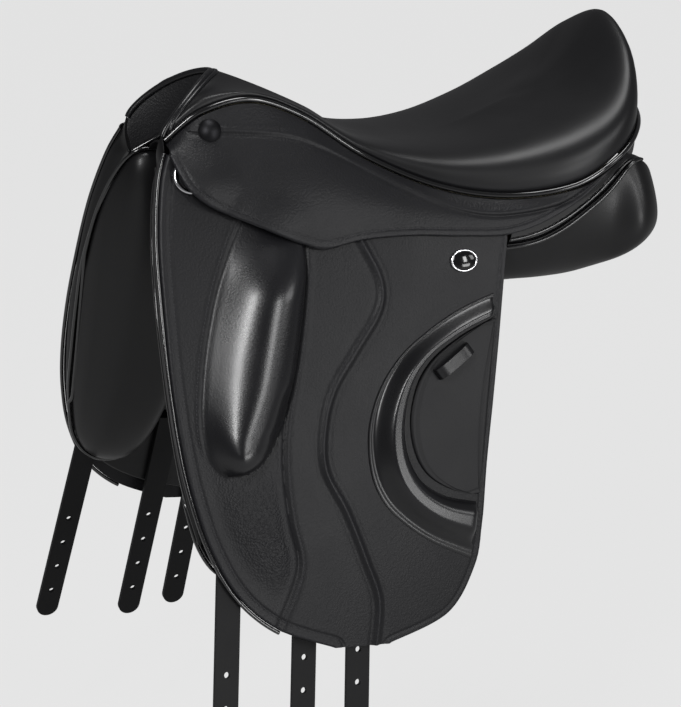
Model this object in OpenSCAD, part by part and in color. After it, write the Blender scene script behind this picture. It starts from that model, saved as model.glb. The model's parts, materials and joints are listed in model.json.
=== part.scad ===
/* [Seat] */
// Length of the seat, from the pommel corners to the back of the cantle
seat_l = 459; // [430:1:490]
// Width of the seat at its widest, from welt to welt
seat_w = 256; // [236:1:276]
// Height of the pommel above the gullet lining
pommel_h = 124; // [116:1:134]
// Height of the cantle above the gullet lining
cantle_h = 147; // [130:1:165]
// Depth of the cut-back in the middle of the pommel
cutback = 64; // [45:1:75]
// Thickness of the seat leather
cover_t = 2.5; // [1.5:0.1:3.5]
// Thickness of the seat foam at the lowest place of the seat
foam_t = 20; // [12:1:26]
// Thickness of the tree's moulded shell
tree_t = 8; // [6:0.5:10]
// Diameter of the welt round the seat
welt_d = 5; // [3.5:0.5:6]

/* [Flap] */
// Height of the flap below its fold line
flap_h = 335; // [300:1:370]
// Width of the flap along its fold line
flap_w = 322; // [305:1:335]
// Thickness of the flap
flap_t = 4; // [3:0.5:5]
// Half width across the flaps at the front, level with the nails
front_half_w = 47; // [44:1:54]
// Thickness of the skirt
skirt_t = 3.2; // [2.5:0.1:4]
// Height of the knee block over the flap
knee_h = 24; // [14:1:30]
// Height of the rear thigh block over the flap
thigh_h = 13; // [8:1:18]
// Thickness of the sweat flap
sweat_t = 2.4; // [1.6:0.1:3]
// Diameter of the piping on flaps and panels
piping_d = 3.6; // [3:0.2:4.4]

/* [Panel] */
// Thickness of the flocked panel under the seat
panel_t = 46; // [34:1:54]
// Width of the gullet between the panels
gullet_w = 72; // [60:1:84]

/* [Girth straps] */
// Width of a girth strap
strap_w = 22; // [18:0.5:25]
// Thickness of a girth strap
strap_t = 4; // [3:0.2:4.4]
// Diameter of the punched holes
hole_d = 5.5; // [4:0.5:7]
// Distance from one punched hole to the next
hole_pitch = 29; // [22:1:34]
// Number of punched holes in a strap
hole_n = 4; // [2:1:5]
// Length of a strap below the slit that holds it
strap_l = 226; // [200:1:260]

/* [Fittings] */
// Diameter of the nail heads
nail_d = 20; // [14:1:24]
// Length of the stirrup bar
bar_l = 74; // [60:1:84]
// Thickness of the stirrup bar
bar_t = 6; // [5:0.5:7]
// Height of the stirrup bar's section
bar_h = 12; // [9:0.5:14]
// Gap behind the stirrup bar for the stirrup leather
bar_gap = 9; // [7:0.5:11]
// Diameter of the catch's pin
pin_d = 4; // [3:0.5:5]
// Wire diameter of the staple dees
dee_wire = 4; // [3:0.5:5]
// Width of the flap stud
stud_w = 25; // [18:1:30]

/* [Hidden] */

// Clearance between layers that lie on each other
gap = 0.3;

// General curves and surfaces
function lerp(a, b, t) = a + (b - a) * t;
function clamp(v) = max(0, min(1, v));
function pick(p, i) = p[max(0, min(len(p) - 1, i))];
function spline(a, b, c, d, t) =
    0.5 * (2 * b + (c - a) * t + (2 * a - 5 * b + 4 * c - d) * t * t + (3 * b - a - 3 * c + d) * t * t * t);
// Point at t from 0 to 1 on the smooth curve through the points p
function curve(p, t) =
    let (s = t * (len(p) - 1), i = min(floor(s), len(p) - 2))
    spline(pick(p, i - 1), pick(p, i), pick(p, i + 1), pick(p, i + 2), s - i);
// Quartic curve over five control values
function quartic(p, t) =
    let (q = 1 - t)
    p[0] * pow(q, 4) + 4 * p[1] * t * pow(q, 3) + 6 * p[2] * t * t * q * q + 4 * p[3] * pow(t, 3) * q
        + p[4] * pow(t, 4);
// Round hump, 1 in the middle and 0 from a distance of 1 on
function hump(a, b) = let (r = min(1, sqrt(a * a + b * b))) pow(1 - r * r, 2);
// Pillow crown over a patch, 0 on its border
function crown(s, t, n, m) = (1 - pow(abs(2 * s - 1), n)) * (1 - pow(abs(2 * t - 1), m));
function unit(v) = v / norm(v);
// Control point past the back of the seat, which mirrors the one before it
function mirrored(p) = len(p) == 3 ? [p[0], -p[1], p[2]] : p;
// Smooth curve along the ribs, level where it crosses the middle of the cantle
function rib(p, u) =
    let (n = len(p) - 1, s = u * n, i = min(floor(s), n - 1))
    spline(pick(p, i - 1), p[i], p[i + 1], i + 2 > n ? mirrored(p[n - 1]) : p[i + 2], s - i);
function flat(rows) = [for (r = rows) each r];

// Closed solid between two grids of rows and columns; with fold the last row closes on itself
module shell(top, bottom, fold = false) {
    rows = len(top);
    cols = len(top[0]);
    half = (cols - 1) / 2;
    count = fold ? (rows - 1) * cols + half + 1 : rows * cols;
    function width(i) = fold && i == rows - 1 ? half : cols - 1;
    function cut(g) = [for (i = [0:rows - 1]) [for (j = [0:width(i)]) g[i][j]]];
    function id(k, i, j) = k * count + i * cols + ((fold && i == rows - 1 && j > half) ? cols - 1 - j : j);
    faces = [
        for (i = [0:rows - 2]) for (j = [0:cols - 2]) each [
            [id(0, i, j), id(0, i, j + 1), id(0, i + 1, j + 1)],
            [id(0, i, j), id(0, i + 1, j + 1), id(0, i + 1, j)],
            [id(1, i, j), id(1, i + 1, j + 1), id(1, i, j + 1)],
            [id(1, i, j), id(1, i + 1, j), id(1, i + 1, j + 1)]],
        for (j = [0:cols - 2]) each [
            [id(0, 0, j + 1), id(0, 0, j), id(1, 0, j)],
            [id(0, 0, j + 1), id(1, 0, j), id(1, 0, j + 1)]],
        if (!fold) for (j = [0:cols - 2]) each [
            [id(0, rows - 1, j), id(0, rows - 1, j + 1), id(1, rows - 1, j + 1)],
            [id(0, rows - 1, j), id(1, rows - 1, j + 1), id(1, rows - 1, j)]],
        for (i = [0:rows - 2]) each [
            [id(0, i, 0), id(0, i + 1, 0), id(1, i + 1, 0)],
            [id(0, i, 0), id(1, i + 1, 0), id(1, i, 0)],
            [id(0, i + 1, cols - 1), id(0, i, cols - 1), id(1, i, cols - 1)],
            [id(0, i + 1, cols - 1), id(1, i, cols - 1), id(1, i + 1, cols - 1)]]];
    polyhedron(flat(concat(cut(top), cut(bottom))), faces);
}

// Closed solid through a row of rings, capped at both ends
module loft(rings) {
    rows = len(rings);
    n = len(rings[0]);
    mid = function (r) [for (k = [0:2]) [for (p = r) 1] * [for (p = r) p[k]] / n];
    function id(i, k) = i * n + k % n;
    faces = [
        for (i = [0:rows - 2]) for (k = [0:n - 1]) each [
            [id(i, k), id(i, k + 1), id(i + 1, k + 1)],
            [id(i, k), id(i + 1, k + 1), id(i + 1, k)]],
        for (k = [0:n - 1]) each [
            [id(0, k + 1), id(0, k), rows * n],
            [id(rows - 1, k), id(rows - 1, k + 1), rows * n + 1]]];
    polyhedron(concat(flat(rings), [mid(rings[0]), mid(rings[rows - 1])]), faces);
}

// Cord of radius r along the points p, with the given number of sides
module cord(p, r, sides = 8) {
    last = len(p) - 1;
    loft([for (i = [0:last])
        let (a = unit(p[min(last, i + 1)] - p[max(0, i - 1)]))
        let (u = unit(cross(a, [0.2, 1, 0.1])), w = cross(a, u))
        [for (k = [0:sides - 1]) p[i] + r * (cos(360 * k / sides) * u - sin(360 * k / sides) * w)]]);
}

// The off side lies at +Y and the near side is its mirror image
module near() {
    mirror([0, 1, 0]) children();
}

// Side surface: half width of the saddle where the inner face of the flap lies
nail_z = 70;
flare = 0.5;
flare_bend = 0.00028;
side_front = -265;
side_span = 265;
waist_w = 40;
waist_fade = 0.13;
function side(x, z) =
    let (d = nail_z - z)
    front_half_w + flare * d - flare_bend * d * d + (x - side_front) / side_span * (waist_w - waist_fade * d);
function side_dx(x, z) = (waist_w - waist_fade * (nail_z - z)) / side_span;
function side_dz(x, z) =
    2 * flare_bend * (nail_z - z) - flare + waist_fade * (x - side_front) / side_span;
// Places children on the side surface: local Y points outward and local Z runs up the surface
module on_side(x, z, out) {
    translate([x, side(x, z) + out, z])
        rotate([atan(-side_dz(x, z)), 0, atan(side_dx(x, z))])
            children();
}
// Grid on the side surface between a front rail and a rear rail of [x, z] points
function patch(front, rear, rows, cols, out) =
    [for (i = [0:rows]) [for (j = [0:cols])
        let (p = lerp(curve(front, i / rows), curve(rear, i / rows), j / cols))
        [p[0], side(p[0], p[1]) + out, p[1]]]];
// The same grid raised into a pillow of height h
function pillow(front, rear, rows, cols, out, h, n, m) =
    [for (i = [0:rows]) [for (j = [0:cols])
        let (p = lerp(curve(front, i / rows), curve(rear, i / rows), j / cols))
        [p[0], side(p[0], p[1]) + out + h * crown(j / cols, i / rows, n, m), p[1]]]];

// Layers on the side, measured from the side surface outward
strap_out = -1;
strap_room = 2.8;
sweat_out = strap_out - strap_t - strap_room;
point_t = 5.5;
point_out = sweat_out - sweat_t - gap;
skirt_in = flap_t + 1.2;
block_in = flap_t + gap;

// Seat: ribs fan out from the centre line to the welt line
pommel_x = -236;
rib_n = 20;
rib_k = 7;
function rib_u(i) = 1 - pow(1 - i / rib_n, 1.3);
ribs = [for (i = [0:rib_n]) rib_u(i)];
rib_v = [for (j = [0:rib_k]) j / rib_k];
// Welt line on one side: share of the seat's length, share of half its width, height
welt_line = [
    [0, 0.328, pommel_h - 45], [0.068, 0.367, pommel_h - 22], [0.166, 0.398, pommel_h - 14],
    [0.268, 0.438, pommel_h - 32], [0.383, 0.531, 55], [0.514, 0.734, 27], [0.645, 0.891, 16],
    [0.776, 1, 22], [0.874, 0.984, 43], [0.941, 0.813, 62], [0.985, 0.469, cantle_h - 73],
    [1, 0, cantle_h - 69]];
// Start of each rib on the centre line: share of the seat's length, height
centre_line = [
    [cutback / seat_l, pommel_h], [0.187, pommel_h - 9], [0.253, 101], [0.329, 83], [0.416, 59], [0.525, 51],
    [0.623, 52], [0.699, 61], [0.754, 71], [0.78, 78], [0.797, 83], [0.806, 86]];
// Heights that pull each rib up between the centre line and the welt
rib_mid = [pommel_h - 24, pommel_h - 8, 107, 92, 64, 53, 54, 66, 78, 86, 96, 104];
rib_rim = [pommel_h - 38, pommel_h - 12, pommel_h - 6, 99, 66, 52, 54, 68, 92, 130,
    cantle_h + 43, cantle_h + 81];
rib_over = [1, 1.02, 1.04, 1.05, 1.05, 1.05, 1.05, 1.05, 1.05, 1.05, 1.06, 1.08];
// Share of the foam's full thickness on each rib
foam_share = [0.35, 0.4, 0.45, 0.6, 0.8, 1, 1.1, 1.1, 1, 0.8, 0.6, 0.5];
webbing_t = 1.2;
function welt(u) = let (p = rib(welt_line, u)) [pommel_x + seat_l * p[0], seat_w / 2 * p[1], p[2]];
function centre(u) = let (p = rib(centre_line, u)) [pommel_x + seat_l * p[0], 0, p[1]];
function foam(u) = foam_t * rib(foam_share, u);
// Depths below the seat's surface at which each layer starts
function foam_top(u) = cover_t + gap;
function web_top(u) = foam_top(u) + foam(u) + gap;
function tree_top(u) = web_top(u) + webbing_t + gap;
function steel_top(u) = tree_top(u) + tree_t + gap;
// Seat point on rib u, at v from the centre line to the welt, at depth d below the surface
function seat(u, v, d, s = 1) =
    let (c = centre(u), w = welt(u), reach = norm([w[0] - c[0], w[1]]))
    let (p = quartic([0, 0.3, 0.75, rib(rib_over, u), 1], v) * (1 - d / reach))
    let (round = 0.7 * max(0, 1 - 5 * u))
    let (z = quartic([c[2], c[2], rib(rib_mid, u), rib(rib_rim, u), w[2]], v) - d)
    [lerp(c[0], w[0], p), s * w[1] * lerp(p, p * (2 - p), round), z];
// Row of seat points right across, from the near welt to the off welt
function across(u, k, v1, d) = [for (j = [-k:k]) seat(u, v1 * abs(j) / k, d, j < 0 ? -1 : 1)];
function outward(u) =
    u > 0.995 ? [1, 0, 0] : let (t = unit(welt(u + 0.005) - welt(max(0, u - 0.005)))) unit([-t[1], t[0], 0]);

leather = [0.13, 0.13, 0.14];
satin = [0.17, 0.17, 0.18];
patent = [0.05, 0.05, 0.06];
steel = [0.75, 0.76, 0.78];
wood = [0.72, 0.55, 0.36];
canvas = [0.8, 0.77, 0.68];

module seat_cover() {
    color(satin)
        shell([for (u = ribs) across(u, rib_k, 1, 0)], [for (u = ribs) across(u, rib_k, 1, cover_t)], true);
}
module seat_foam() {
    color("khaki")
        shell([for (u = ribs) across(u, rib_k, 1, foam_top(u))],
            [for (u = ribs) across(u, rib_k, 1, foam_top(u) + foam(u))], true);
}

// Open middle of the tree, which the webbing spans
tree_window = [-70, 105];
tree_window_w = 74;
module tree_frame() {
    color(wood)
        difference() {
            shell([for (u = ribs) across(u, rib_k, 1, tree_top(u))],
                [for (u = ribs) across(u, rib_k, 1, tree_top(u) + tree_t)], true);
            linear_extrude(height = cantle_h)
                hull() {
                    translate([tree_window[0] + tree_window_w / 3, 0]) circle(tree_window_w / 3, $fn = 24);
                    translate([tree_window[1] - tree_window_w / 2, 0]) circle(tree_window_w / 2, $fn = 24);
                }
        }
}

// Webbing: two long straps and two cross straps in one layer between foam and tree
module seat_webbing() {
    function long_grid(s, d) =
        [for (i = [3:rib_n - 6])
            let (u = ribs[i])
            [for (j = s > 0 ? [1, 2] : [2, 1]) seat(u, rib_v[j], web_top(u) + d, s)]];
    function cross_grid(i0, d) =
        [for (i = [i0, i0 + 1]) across(ribs[i], rib_k - 1, rib_v[rib_k - 1], web_top(ribs[i]) + d)];
    color(canvas) {
        for (s = [-1, 1])
            shell(long_grid(s, 0), long_grid(s, webbing_t));
        for (i = [6, 10])
            shell(cross_grid(i, 0), cross_grid(i, webbing_t));
    }
}

// Spring steels: two strips riveted under the tree, beside its window
spring_t = 2;
module spring_steels() {
    function strip(s, d) =
        [for (i = [3:rib_n - 7])
            let (u = ribs[i])
            [for (j = s > 0 ? [4, 5] : [5, 4]) seat(u, rib_v[j], steel_top(u) + d, s)]];
    color(steel)
        for (s = [-1, 1])
            shell(strip(s, 0), strip(s, spring_t));
}

// Head arch: steel plate under the pommel with a point down each side
head_t = 4;
head_clear = 1.9;
point_front = [[-228, 58], [-238, 18], [-232, -40]];
point_rear = [[-106, 48], [-138, 12], [-190, -40]];
head_u = [for (i = [0:3]) ribs[i]];
head_v = [for (j = [rib_k - 1:-1:1]) rib_v[j]];
function point_row(t, out, s) =
    [for (j = [0:3])
        let (p = lerp(curve(point_front, t), curve(point_rear, t), j / 3))
        [p[0], s * (side(p[0], p[1]) + out), p[1]]];
function head_top(u) = steel_top(u) + head_clear;
function head_grid(inner) =
    let (d = inner ? head_t : 0, out = point_out - (inner ? point_t : 0))
    concat(
        [for (t = [1:-0.2:0]) point_row(t, out, 1)],
        [for (v = head_v) [for (u = head_u) seat(u, v, head_top(u) + d, 1)]],
        [[for (u = head_u) seat(u, 0, head_top(u) + d, 1)]],
        [for (i = [rib_k - 2:-1:0]) [for (u = head_u) seat(u, head_v[i], head_top(u) + d, -1)]],
        [for (t = [0:0.2:1]) point_row(t, out, -1)]);
module head_arch() {
    color(steel) shell(head_grid(false), head_grid(true));
}

// Welt round the seat's lower edge
welt_in = 0.32;
welt_down = 0.68;
function welt_path(u, s) =
    let (p = welt(u) + outward(u) * welt_d * welt_in - [0, 0, welt_d * welt_down])
    [p[0], s * p[1], p[2]];
welt_rows = 26;
module seat_welt() {
    color(patent)
        cord(concat([for (i = [0:welt_rows]) welt_path(i / welt_rows, -1)],
            [for (i = [welt_rows - 1:-1:0]) welt_path(i / welt_rows, 1)]), welt_d / 2);
}

// Leather that closes the front of the pommel over the cut edges of foam and tree
facing_t = 1.5;
module pommel_facing() {
    depth = head_top(0) + head_t;
    function row(d, f) = [for (p = across(0, rib_k, 1, d)) p - [f, 0, 0]];
    color(leather)
        shell([row(0, gap), row(depth / 2, gap), row(depth, gap)],
            [row(0, gap + facing_t), row(depth / 2, gap + facing_t), row(depth, gap + facing_t)]);
}

// Leather under the welt round the back of the cantle
skirt_u = 0.735;
facing_under = 1.16;
facing_edge = 3.5;
facing_drop = 28;
module cantle_facing() {
    n = 9;
    function post(k, inset) =
        let (a = 1 - abs(k) / n, u = lerp(skirt_u + 0.012, 1, a), s = k < 0 ? 1 : -1)
        let (p = welt(u) - outward(u) * inset, top = p[2] - facing_under * welt_d)
        [for (q = [0:3]) [p[0], s * p[1], top - (facing_edge + facing_drop * pow(a, 5)) * q / 3]];
    color(leather)
        shell([for (k = [-n:n]) post(k, 1)], [for (k = [-n:n]) post(k, 1 + facing_t)]);
}

// Panel sections: x, inner edge y and z, outer edge y and z, share of the thickness,
// swell of the outer face, fullness
panel_line = [
    [-264, 96, -70, 146, -205, 0.14, 2, 2.2], [-256, 66, -5, 161, -252, 0.4, 7, 2.4],
    [-238, 36, 44, 166, -278, 0.65, 12, 2.6], [-208, 32, 48, 168, -283, 0.78, 13, 2.6],
    [-186, 33, 45, 156, -255, 0.83, 13, 2.6], [-165, 35, 38, 137, -185, 0.87, 12, 2.8],
    [-135, 36, 26, 120, -128, 0.91, 11, 3], [-90, 36, 8, 110, -80, 0.96, 8, 3.4],
    [-40, 36, -8, 106, -50, 0.98, 5, 4], [15, 36, -14, 107, -36, 1, 4, 4.6],
    [70, 36, -18, 119, -28, 0.95, -2, 5], [100, 36, -15, 123, -16, 1.1, -7, 5],
    [125, 36, -10, 125, -3, 1.28, -12, 5], [150, 37, 0, 124, 15, 1.5, -15, 4.6],
    [175, 40, 12, 118, 32, 1.75, -14, 4.2], [193, 46, 20, 110, 37, 1.7, -10, 4],
    [206, 54, 16, 103, 27, 1.35, -4, 3.6], [214, 62, 4, 95, 8, 0.8, 0, 3],
    [217, 68, -4, 88, -4, 0.4, 0, 2.6]];
panel_rows = 36;
panel_k = 8;
// Gullet edge of a panel moves with the gullet's width
function panel_a(r) = [r[1] + (gullet_w / 2 - 36), r[2]];
function panel_b(r) = [r[3], r[4]];
function panel_ring(t) =
    let (r = curve(panel_line, t), a = panel_a(r), b = panel_b(r), e = unit(b - a), n = [e[1], -e[0]])
    concat(
        [for (k = [0:panel_k])
            let (s = k / panel_k, p = lerp(a, b, s) - n * r[6] * 4 * s * (1 - s))
            [r[0], p[0], p[1]]],
        [for (k = [panel_k - 1:-1:1])
            let (s = k / panel_k, full = pow(1 - pow(abs(2 * s - 1), r[7]), 0.5))
            let (p = lerp(a, b, s) + n * panel_t * r[5] * full)
            [r[0], p[0], p[1]]]);
module panel() {
    color(leather) loft([for (i = [0:panel_rows]) panel_ring(i / panel_rows)]);
}
module panel_piping() {
    clear = piping_d / 2 + 3 * gap;
    function edge(t) = let (r = curve(panel_line, t), b = panel_b(r)) [r[0], b[0], b[1]];
    function away(t) = let (r = curve(panel_line, t), e = unit(panel_b(r) - panel_a(r))) [0, e[0], e[1]];
    function along(t) = unit(edge(t + 0.01) - edge(t - 0.01));
    function square_off(e, a) = unit(e - a * (e * a));
    path = [for (i = [1:panel_rows - 1])
        let (t = i / panel_rows)
        edge(t) + square_off(away(t), along(t)) * clear];
    color(patent) cord(path, piping_d / 2, 6);
}

// Lining that roofs the gullet between the panels
lining_t = 2;
lining_rows = 14;
lining_span = [0.156, 0.85];
lining_rise = [14, 6];
module gullet_lining() {
    function roof(t, y) =
        let (r = curve(panel_line, lerp(lining_span[0], lining_span[1], t)))
        let (a = panel_a(r), w = a[0] - 2 * gap)
        let (rise = lerp(lining_rise[0], lining_rise[1], pow(t, 3)))
        [r[0], y * w, lerp(a[1] + gap, max(a[1] + rise, 0), 1 - y * y)];
    function row(t, up) = [for (y = [-1:0.25:1]) roof(t, y) + [0, 0, up]];
    color(leather)
        shell([for (i = [0:lining_rows]) row(i / lining_rows, lining_t)],
            [for (i = [0:lining_rows]) row(i / lining_rows, 0)]);
}

// Flap: front rail measured from its front, rear rail from its rear corner, heights as shares of its height
fold_z = -20.5;
flap_front = -268;
flap_rear = flap_front + flap_w;
function from_front(p) = [for (q = p) [flap_front + q[0], fold_z - q[1] * flap_h]];
function from_rear(p) = [for (q = p) [flap_rear - q[0], fold_z - q[1] * flap_h]];
flap_a = from_front([[6.5, 0.004], [3, 0.118], [0, 0.267], [0, 0.416], [4, 0.551], [14, 0.685], [34, 0.81],
    [68, 0.909], [118, 0.981]]);
flap_b = from_rear([[0, 0.004], [7.5, 0.118], [17.5, 0.261], [28.5, 0.416], [39.5, 0.572], [48.5, 0.727],
    [59.5, 0.843], [89.5, 0.954], [148.5, 1]]);
flap_rows = 18;
flap_cols = 9;
module flap() {
    color(leather)
        shell(patch(flap_a, flap_b, flap_rows, flap_cols, 0),
            patch(flap_a, flap_b, flap_rows, flap_cols, flap_t));
}
// Piping along the flap's front edge
module flap_piping() {
    color(patent)
        cord([for (i = [0:20])
            let (p = curve(flap_a, i / 21), q = curve(flap_a, i / 21 + 0.01), e = unit(q - p))
            let (c = p + [e[1], -e[0]] * (piping_d / 2 + gap))
            [c[0], side(c[0], c[1]) + flap_t / 2, c[1]]], piping_d / 2, 6);
}

// Fixed head of the flap above the fold line, notched round the stirrup bar
bar_x = -150;
bar_z = 26;
bar_base = point_out * cos(atan(flare)) + gap;
notch_margin = 6;
notch_deep = 40;
notch_h = 70;
catch_room = 18;
head_a = [[-239, 66], [-247, 46], [-256, 14], [-261.5, fold_z + 0.8]];
head_b = [[flap_rear + 1.5, -15], [flap_rear + 1, -16.5], [flap_rear + 0.5, -18], [flap_rear, fold_z + 0.8]];
module flap_head() {
    color(leather)
        difference() {
            shell(patch(head_a, head_b, 5, 12, 0), patch(head_a, head_b, 5, 12, flap_t));
            on_side(bar_x, bar_z, 0)
                translate([-bar_l / 2 - notch_margin, -notch_deep / 2, -bar_h / 2 - notch_margin])
                    cube([bar_l + catch_room + 2 * notch_margin, notch_deep, notch_h]);
        }
}

// Knee block, rear thigh block and the insert that the thigh block frames
block_edge = 1;
knee_a = from_front([[64, 0.014], [47, 0.091], [30, 0.231], [20, 0.372], [22, 0.452], [34, 0.498]]);
knee_b = from_front([[131, 0.014], [128, 0.112], [117, 0.258], [96, 0.4], [80, 0.47], [60, 0.506]]);
module knee_block() {
    color(satin)
        shell(patch(knee_a, knee_b, 12, 8, block_in),
            pillow(knee_a, knee_b, 12, 8, block_in + block_edge, knee_h, 3, 5));
}
thigh_a = from_rear([[20, 0.142], [52, 0.172], [82, 0.213], [113, 0.273], [137, 0.354], [151, 0.449],
    [153, 0.551], [145, 0.628], [129, 0.688], [102, 0.754], [64, 0.816]]);
thigh_b = from_rear([[24, 0.19], [59, 0.225], [89, 0.273], [108, 0.339], [119, 0.437], [118, 0.524],
    [106, 0.596], [84, 0.643], [55, 0.67]]);
module thigh_block() {
    color(satin)
        shell(patch(thigh_a, thigh_b, 16, 6, block_in),
            pillow(thigh_a, thigh_b, 16, 6, block_in + block_edge, thigh_h, 2.4, 8));
}
insert_a = from_rear([[28, 0.21], [57, 0.245], [84, 0.29], [101, 0.35], [111, 0.437], [110, 0.518],
    [100, 0.582], [80, 0.625], [56, 0.648]]);
insert_b = from_rear([[21, 0.205], [33, 0.42], [52, 0.65]]);
insert_h = 1.4;
insert_edge = 0.6;
module flap_insert() {
    color(leather)
        shell(patch(insert_a, insert_b, 10, 4, block_in),
            pillow(insert_a, insert_b, 10, 4, block_in + insert_edge, insert_h, 4, 6));
}

// Leather keeper that stands on the insert as a low arch
keeper_x = -12;
keeper_z = -121;
keeper_l = 40;
keeper_w = 10;
keeper_t = 2;
keeper_rise = 11;
keeper_turn = -32;
module keeper() {
    function arch(r) =
        [for (k = [0:12])
            let (a = 180 * k / 12)
            [-(keeper_l / 2 + r) * cos(a), (keeper_rise + r) * sin(a)]];
    color(leather)
        on_side(keeper_x, keeper_z, block_in + insert_edge + insert_h + gap)
            rotate([0, -keeper_turn, 0])
                translate([0, 0, -keeper_w / 2])
                    linear_extrude(height = keeper_w)
                        polygon(concat(arch(0), [for (k = [12:-1:0]) arch(-keeper_t)[k]]));
}

// Oval stud with a rim near the flap's upper rear corner
stud_x = 10;
stud_z = -38;
stud_h = 3;
stud_ratio = 0.8;
module stud() {
    function oval(w) = w * (1 - stud_ratio) / 2;
    color(steel)
        on_side(stud_x, stud_z, block_in)
            rotate([-90, 0, 0])
                hull()
                    for (s = [-1, 1])
                        translate([s * oval(stud_w), 0, 0]) {
                            cylinder(h = stud_h - 1, d = stud_w * stud_ratio, $fn = 32);
                            cylinder(h = stud_h, d = stud_w * stud_ratio - 3, $fn = 32);
                        }
}

// Skirt: upper rail under the welt, lower rail measured on the side
skirt_low = [[-239, 66], [-231, 42], [-212, 24], [-178, 8], [-140, -10], [-115, -17.5], [-80, -13],
    [-35, -13], [10, -17], [55, -19], [95, -9], [133, 10], [165, 36]];
skirt_hump = 8;
hinge_from = 0.04;
hinge_to = 0.7;
hinge_gap = 1.5;
function skirt_top(t) = let (p = welt(skirt_u * t)) [p[0], p[2] - 1.25 * welt_d - 0.5];
// Inner or outer skirt point in column t at q from the lower edge to the top
function skirt_point(t, q, out) =
    let (a = curve(skirt_low, t), b = skirt_top(t), p = lerp(a, b, q))
    let (draw = side(b[0], b[1]) + skirt_in - welt(skirt_u * t)[1] - 0.5)
    let (over_bar = hump((p[0] - bar_x - 5) / 110, (p[1] - bar_z) / 60))
    let (over_dee = 1.15 * hump((p[0] - dee_x) / 44, (p[1] - dee_z) / 40), lift = over_bar + over_dee)
    [p[0], side(p[0], p[1]) + skirt_in - draw * pow(q, 4) + skirt_hump * lift + out, p[1]];
// Hinge line of the lower skirt, straight between two points of the lower edge
hinge_a = curve(skirt_low, 0);
hinge_b = curve(skirt_low, 0.75);
hinge_m = (hinge_b[1] - hinge_a[1]) / (hinge_b[0] - hinge_a[0]);
function hinge_q(t) =
    let (a = curve(skirt_low, t), b = skirt_top(t))
    clamp((hinge_a[1] + hinge_m * (a[0] - hinge_a[0]) - a[1]) / (b[1] - a[1] - hinge_m * (b[0] - a[0])));
function gap_q(t) = hinge_gap / 2 / (skirt_top(t)[1] - curve(skirt_low, t)[1]);
band_cols = 26;
leaf_cols = 18;
function band_grid(out) =
    [for (i = [0:4]) [for (j = [0:band_cols])
        let (t = j / band_cols, low = hinge_q(t) > 0.02 ? hinge_q(t) + gap_q(t) : 0)
        skirt_point(t, lerp(1, low, i / 4), out)]];
function leaf_grid(out) =
    [for (i = [0:4]) [for (j = [0:leaf_cols])
        let (t = lerp(hinge_from, hinge_to, j / leaf_cols))
        skirt_point(t, lerp(hinge_q(t) - gap_q(t), 0, i / 4), out)]];
module skirt_band() {
    color(leather) shell(band_grid(0), band_grid(skirt_t));
}
module skirt() {
    color(leather) shell(leaf_grid(0), leaf_grid(skirt_t));
}

// Domed nail that pins the skirt to the head of the tree, square to the skirt
nail_t = 0.15;
nail_q = 0.8;
nail_rise = 4;
nail_clear = 0.9;
module nail() {
    ball = (nail_d * nail_d / 4 + nail_rise * nail_rise) / (2 * nail_rise);
    spot = skirt_point(nail_t, nail_q, skirt_t);
    along = skirt_point(nail_t + 0.02, nail_q, skirt_t) - skirt_point(nail_t - 0.02, nail_q, skirt_t);
    up = skirt_point(nail_t, nail_q + 0.1, skirt_t) - skirt_point(nail_t, nail_q - 0.1, skirt_t);
    n = unit(cross(up, along));
    color(steel)
        translate(spot + n * nail_clear)
            rotate([0, acos(n[2]), atan2(n[1], n[0])])
                intersection() {
                    translate([0, 0, nail_rise - ball]) sphere(ball, $fn = 96);
                    cylinder(h = nail_rise + 1, d = nail_d, $fn = 64);
                }
}

// Sweat flap between panel and straps, with a slit for the middle strap
sweat_a = from_front([[12, -0.07], [8, 0.1], [6, 0.267], [7, 0.416], [12, 0.551], [22, 0.685], [45, 0.805],
    [82, 0.885], [130, 0.94]]);
sweat_b = from_rear([[14, 0.03], [20, 0.118], [30, 0.261], [41, 0.416], [52, 0.572], [61, 0.727], [73, 0.83],
    [102, 0.92], [150, 0.95]]);
slit_h = 16;
slit_margin = 3;
module sweat_flap() {
    color(leather)
        difference() {
            shell(patch(sweat_a, sweat_b, 14, 8, sweat_out - sweat_t),
                patch(sweat_a, sweat_b, 14, 8, sweat_out));
            strap_frame(1)
                translate([-strap_w / 2 - slit_margin, -30, -slit_h / 2])
                    cube([strap_w + 2 * slit_margin, 40, slit_h]);
        }
}

// Girth straps: place of each strap's pivot, its forward lean and its depth behind the flap
pivot_z = -252;
strap_x = [-235, -158, -112];
strap_lean = [9, 8, 7];
strap_depth = [0, 10.5, 0];
tangent_z = -300;
hole_from = 108;
strap_clear = 2;
// Local Y points outward from the outer face of strap i and local Z runs up the strap
module strap_frame(i) {
    x = strap_x[i];
    slope = side_dz(x, tangent_z);
    translate([x, side(x, tangent_z) + slope * (pivot_z - tangent_z) - strap_clear, pivot_z])
        rotate([atan(-slope), 0, atan(side_dx(x, tangent_z))])
            rotate([0, strap_lean[i], 0])
                children();
}
module strap_plate(l) {
    rotate([90, 0, 0])
        linear_extrude(height = strap_t)
            union() {
                translate([-strap_w / 2, -l + strap_w / 2]) square([strap_w, l - strap_w / 2]);
                translate([0, -l + strap_w / 2]) circle(d = strap_w, $fn = 48);
            }
}
module girth_strap(i) {
    color(leather)
        strap_frame(i)
            difference() {
                union() {
                    translate([0, -strap_depth[i], 0]) strap_plate(strap_l);
                    if (strap_depth[i] > 0)
                        translate([-strap_w / 2, -strap_depth[i] - strap_t, 0])
                            cube([strap_w, strap_depth[i] + strap_t, strap_t]);
                }
                for (k = [0:hole_n - 1])
                    translate([0, 1, -hole_from - k * hole_pitch])
                        rotate([90, 0, 0])
                            cylinder(h = strap_t + strap_depth[i] + 2, d = hole_d, $fn = 32);
            }
}
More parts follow.
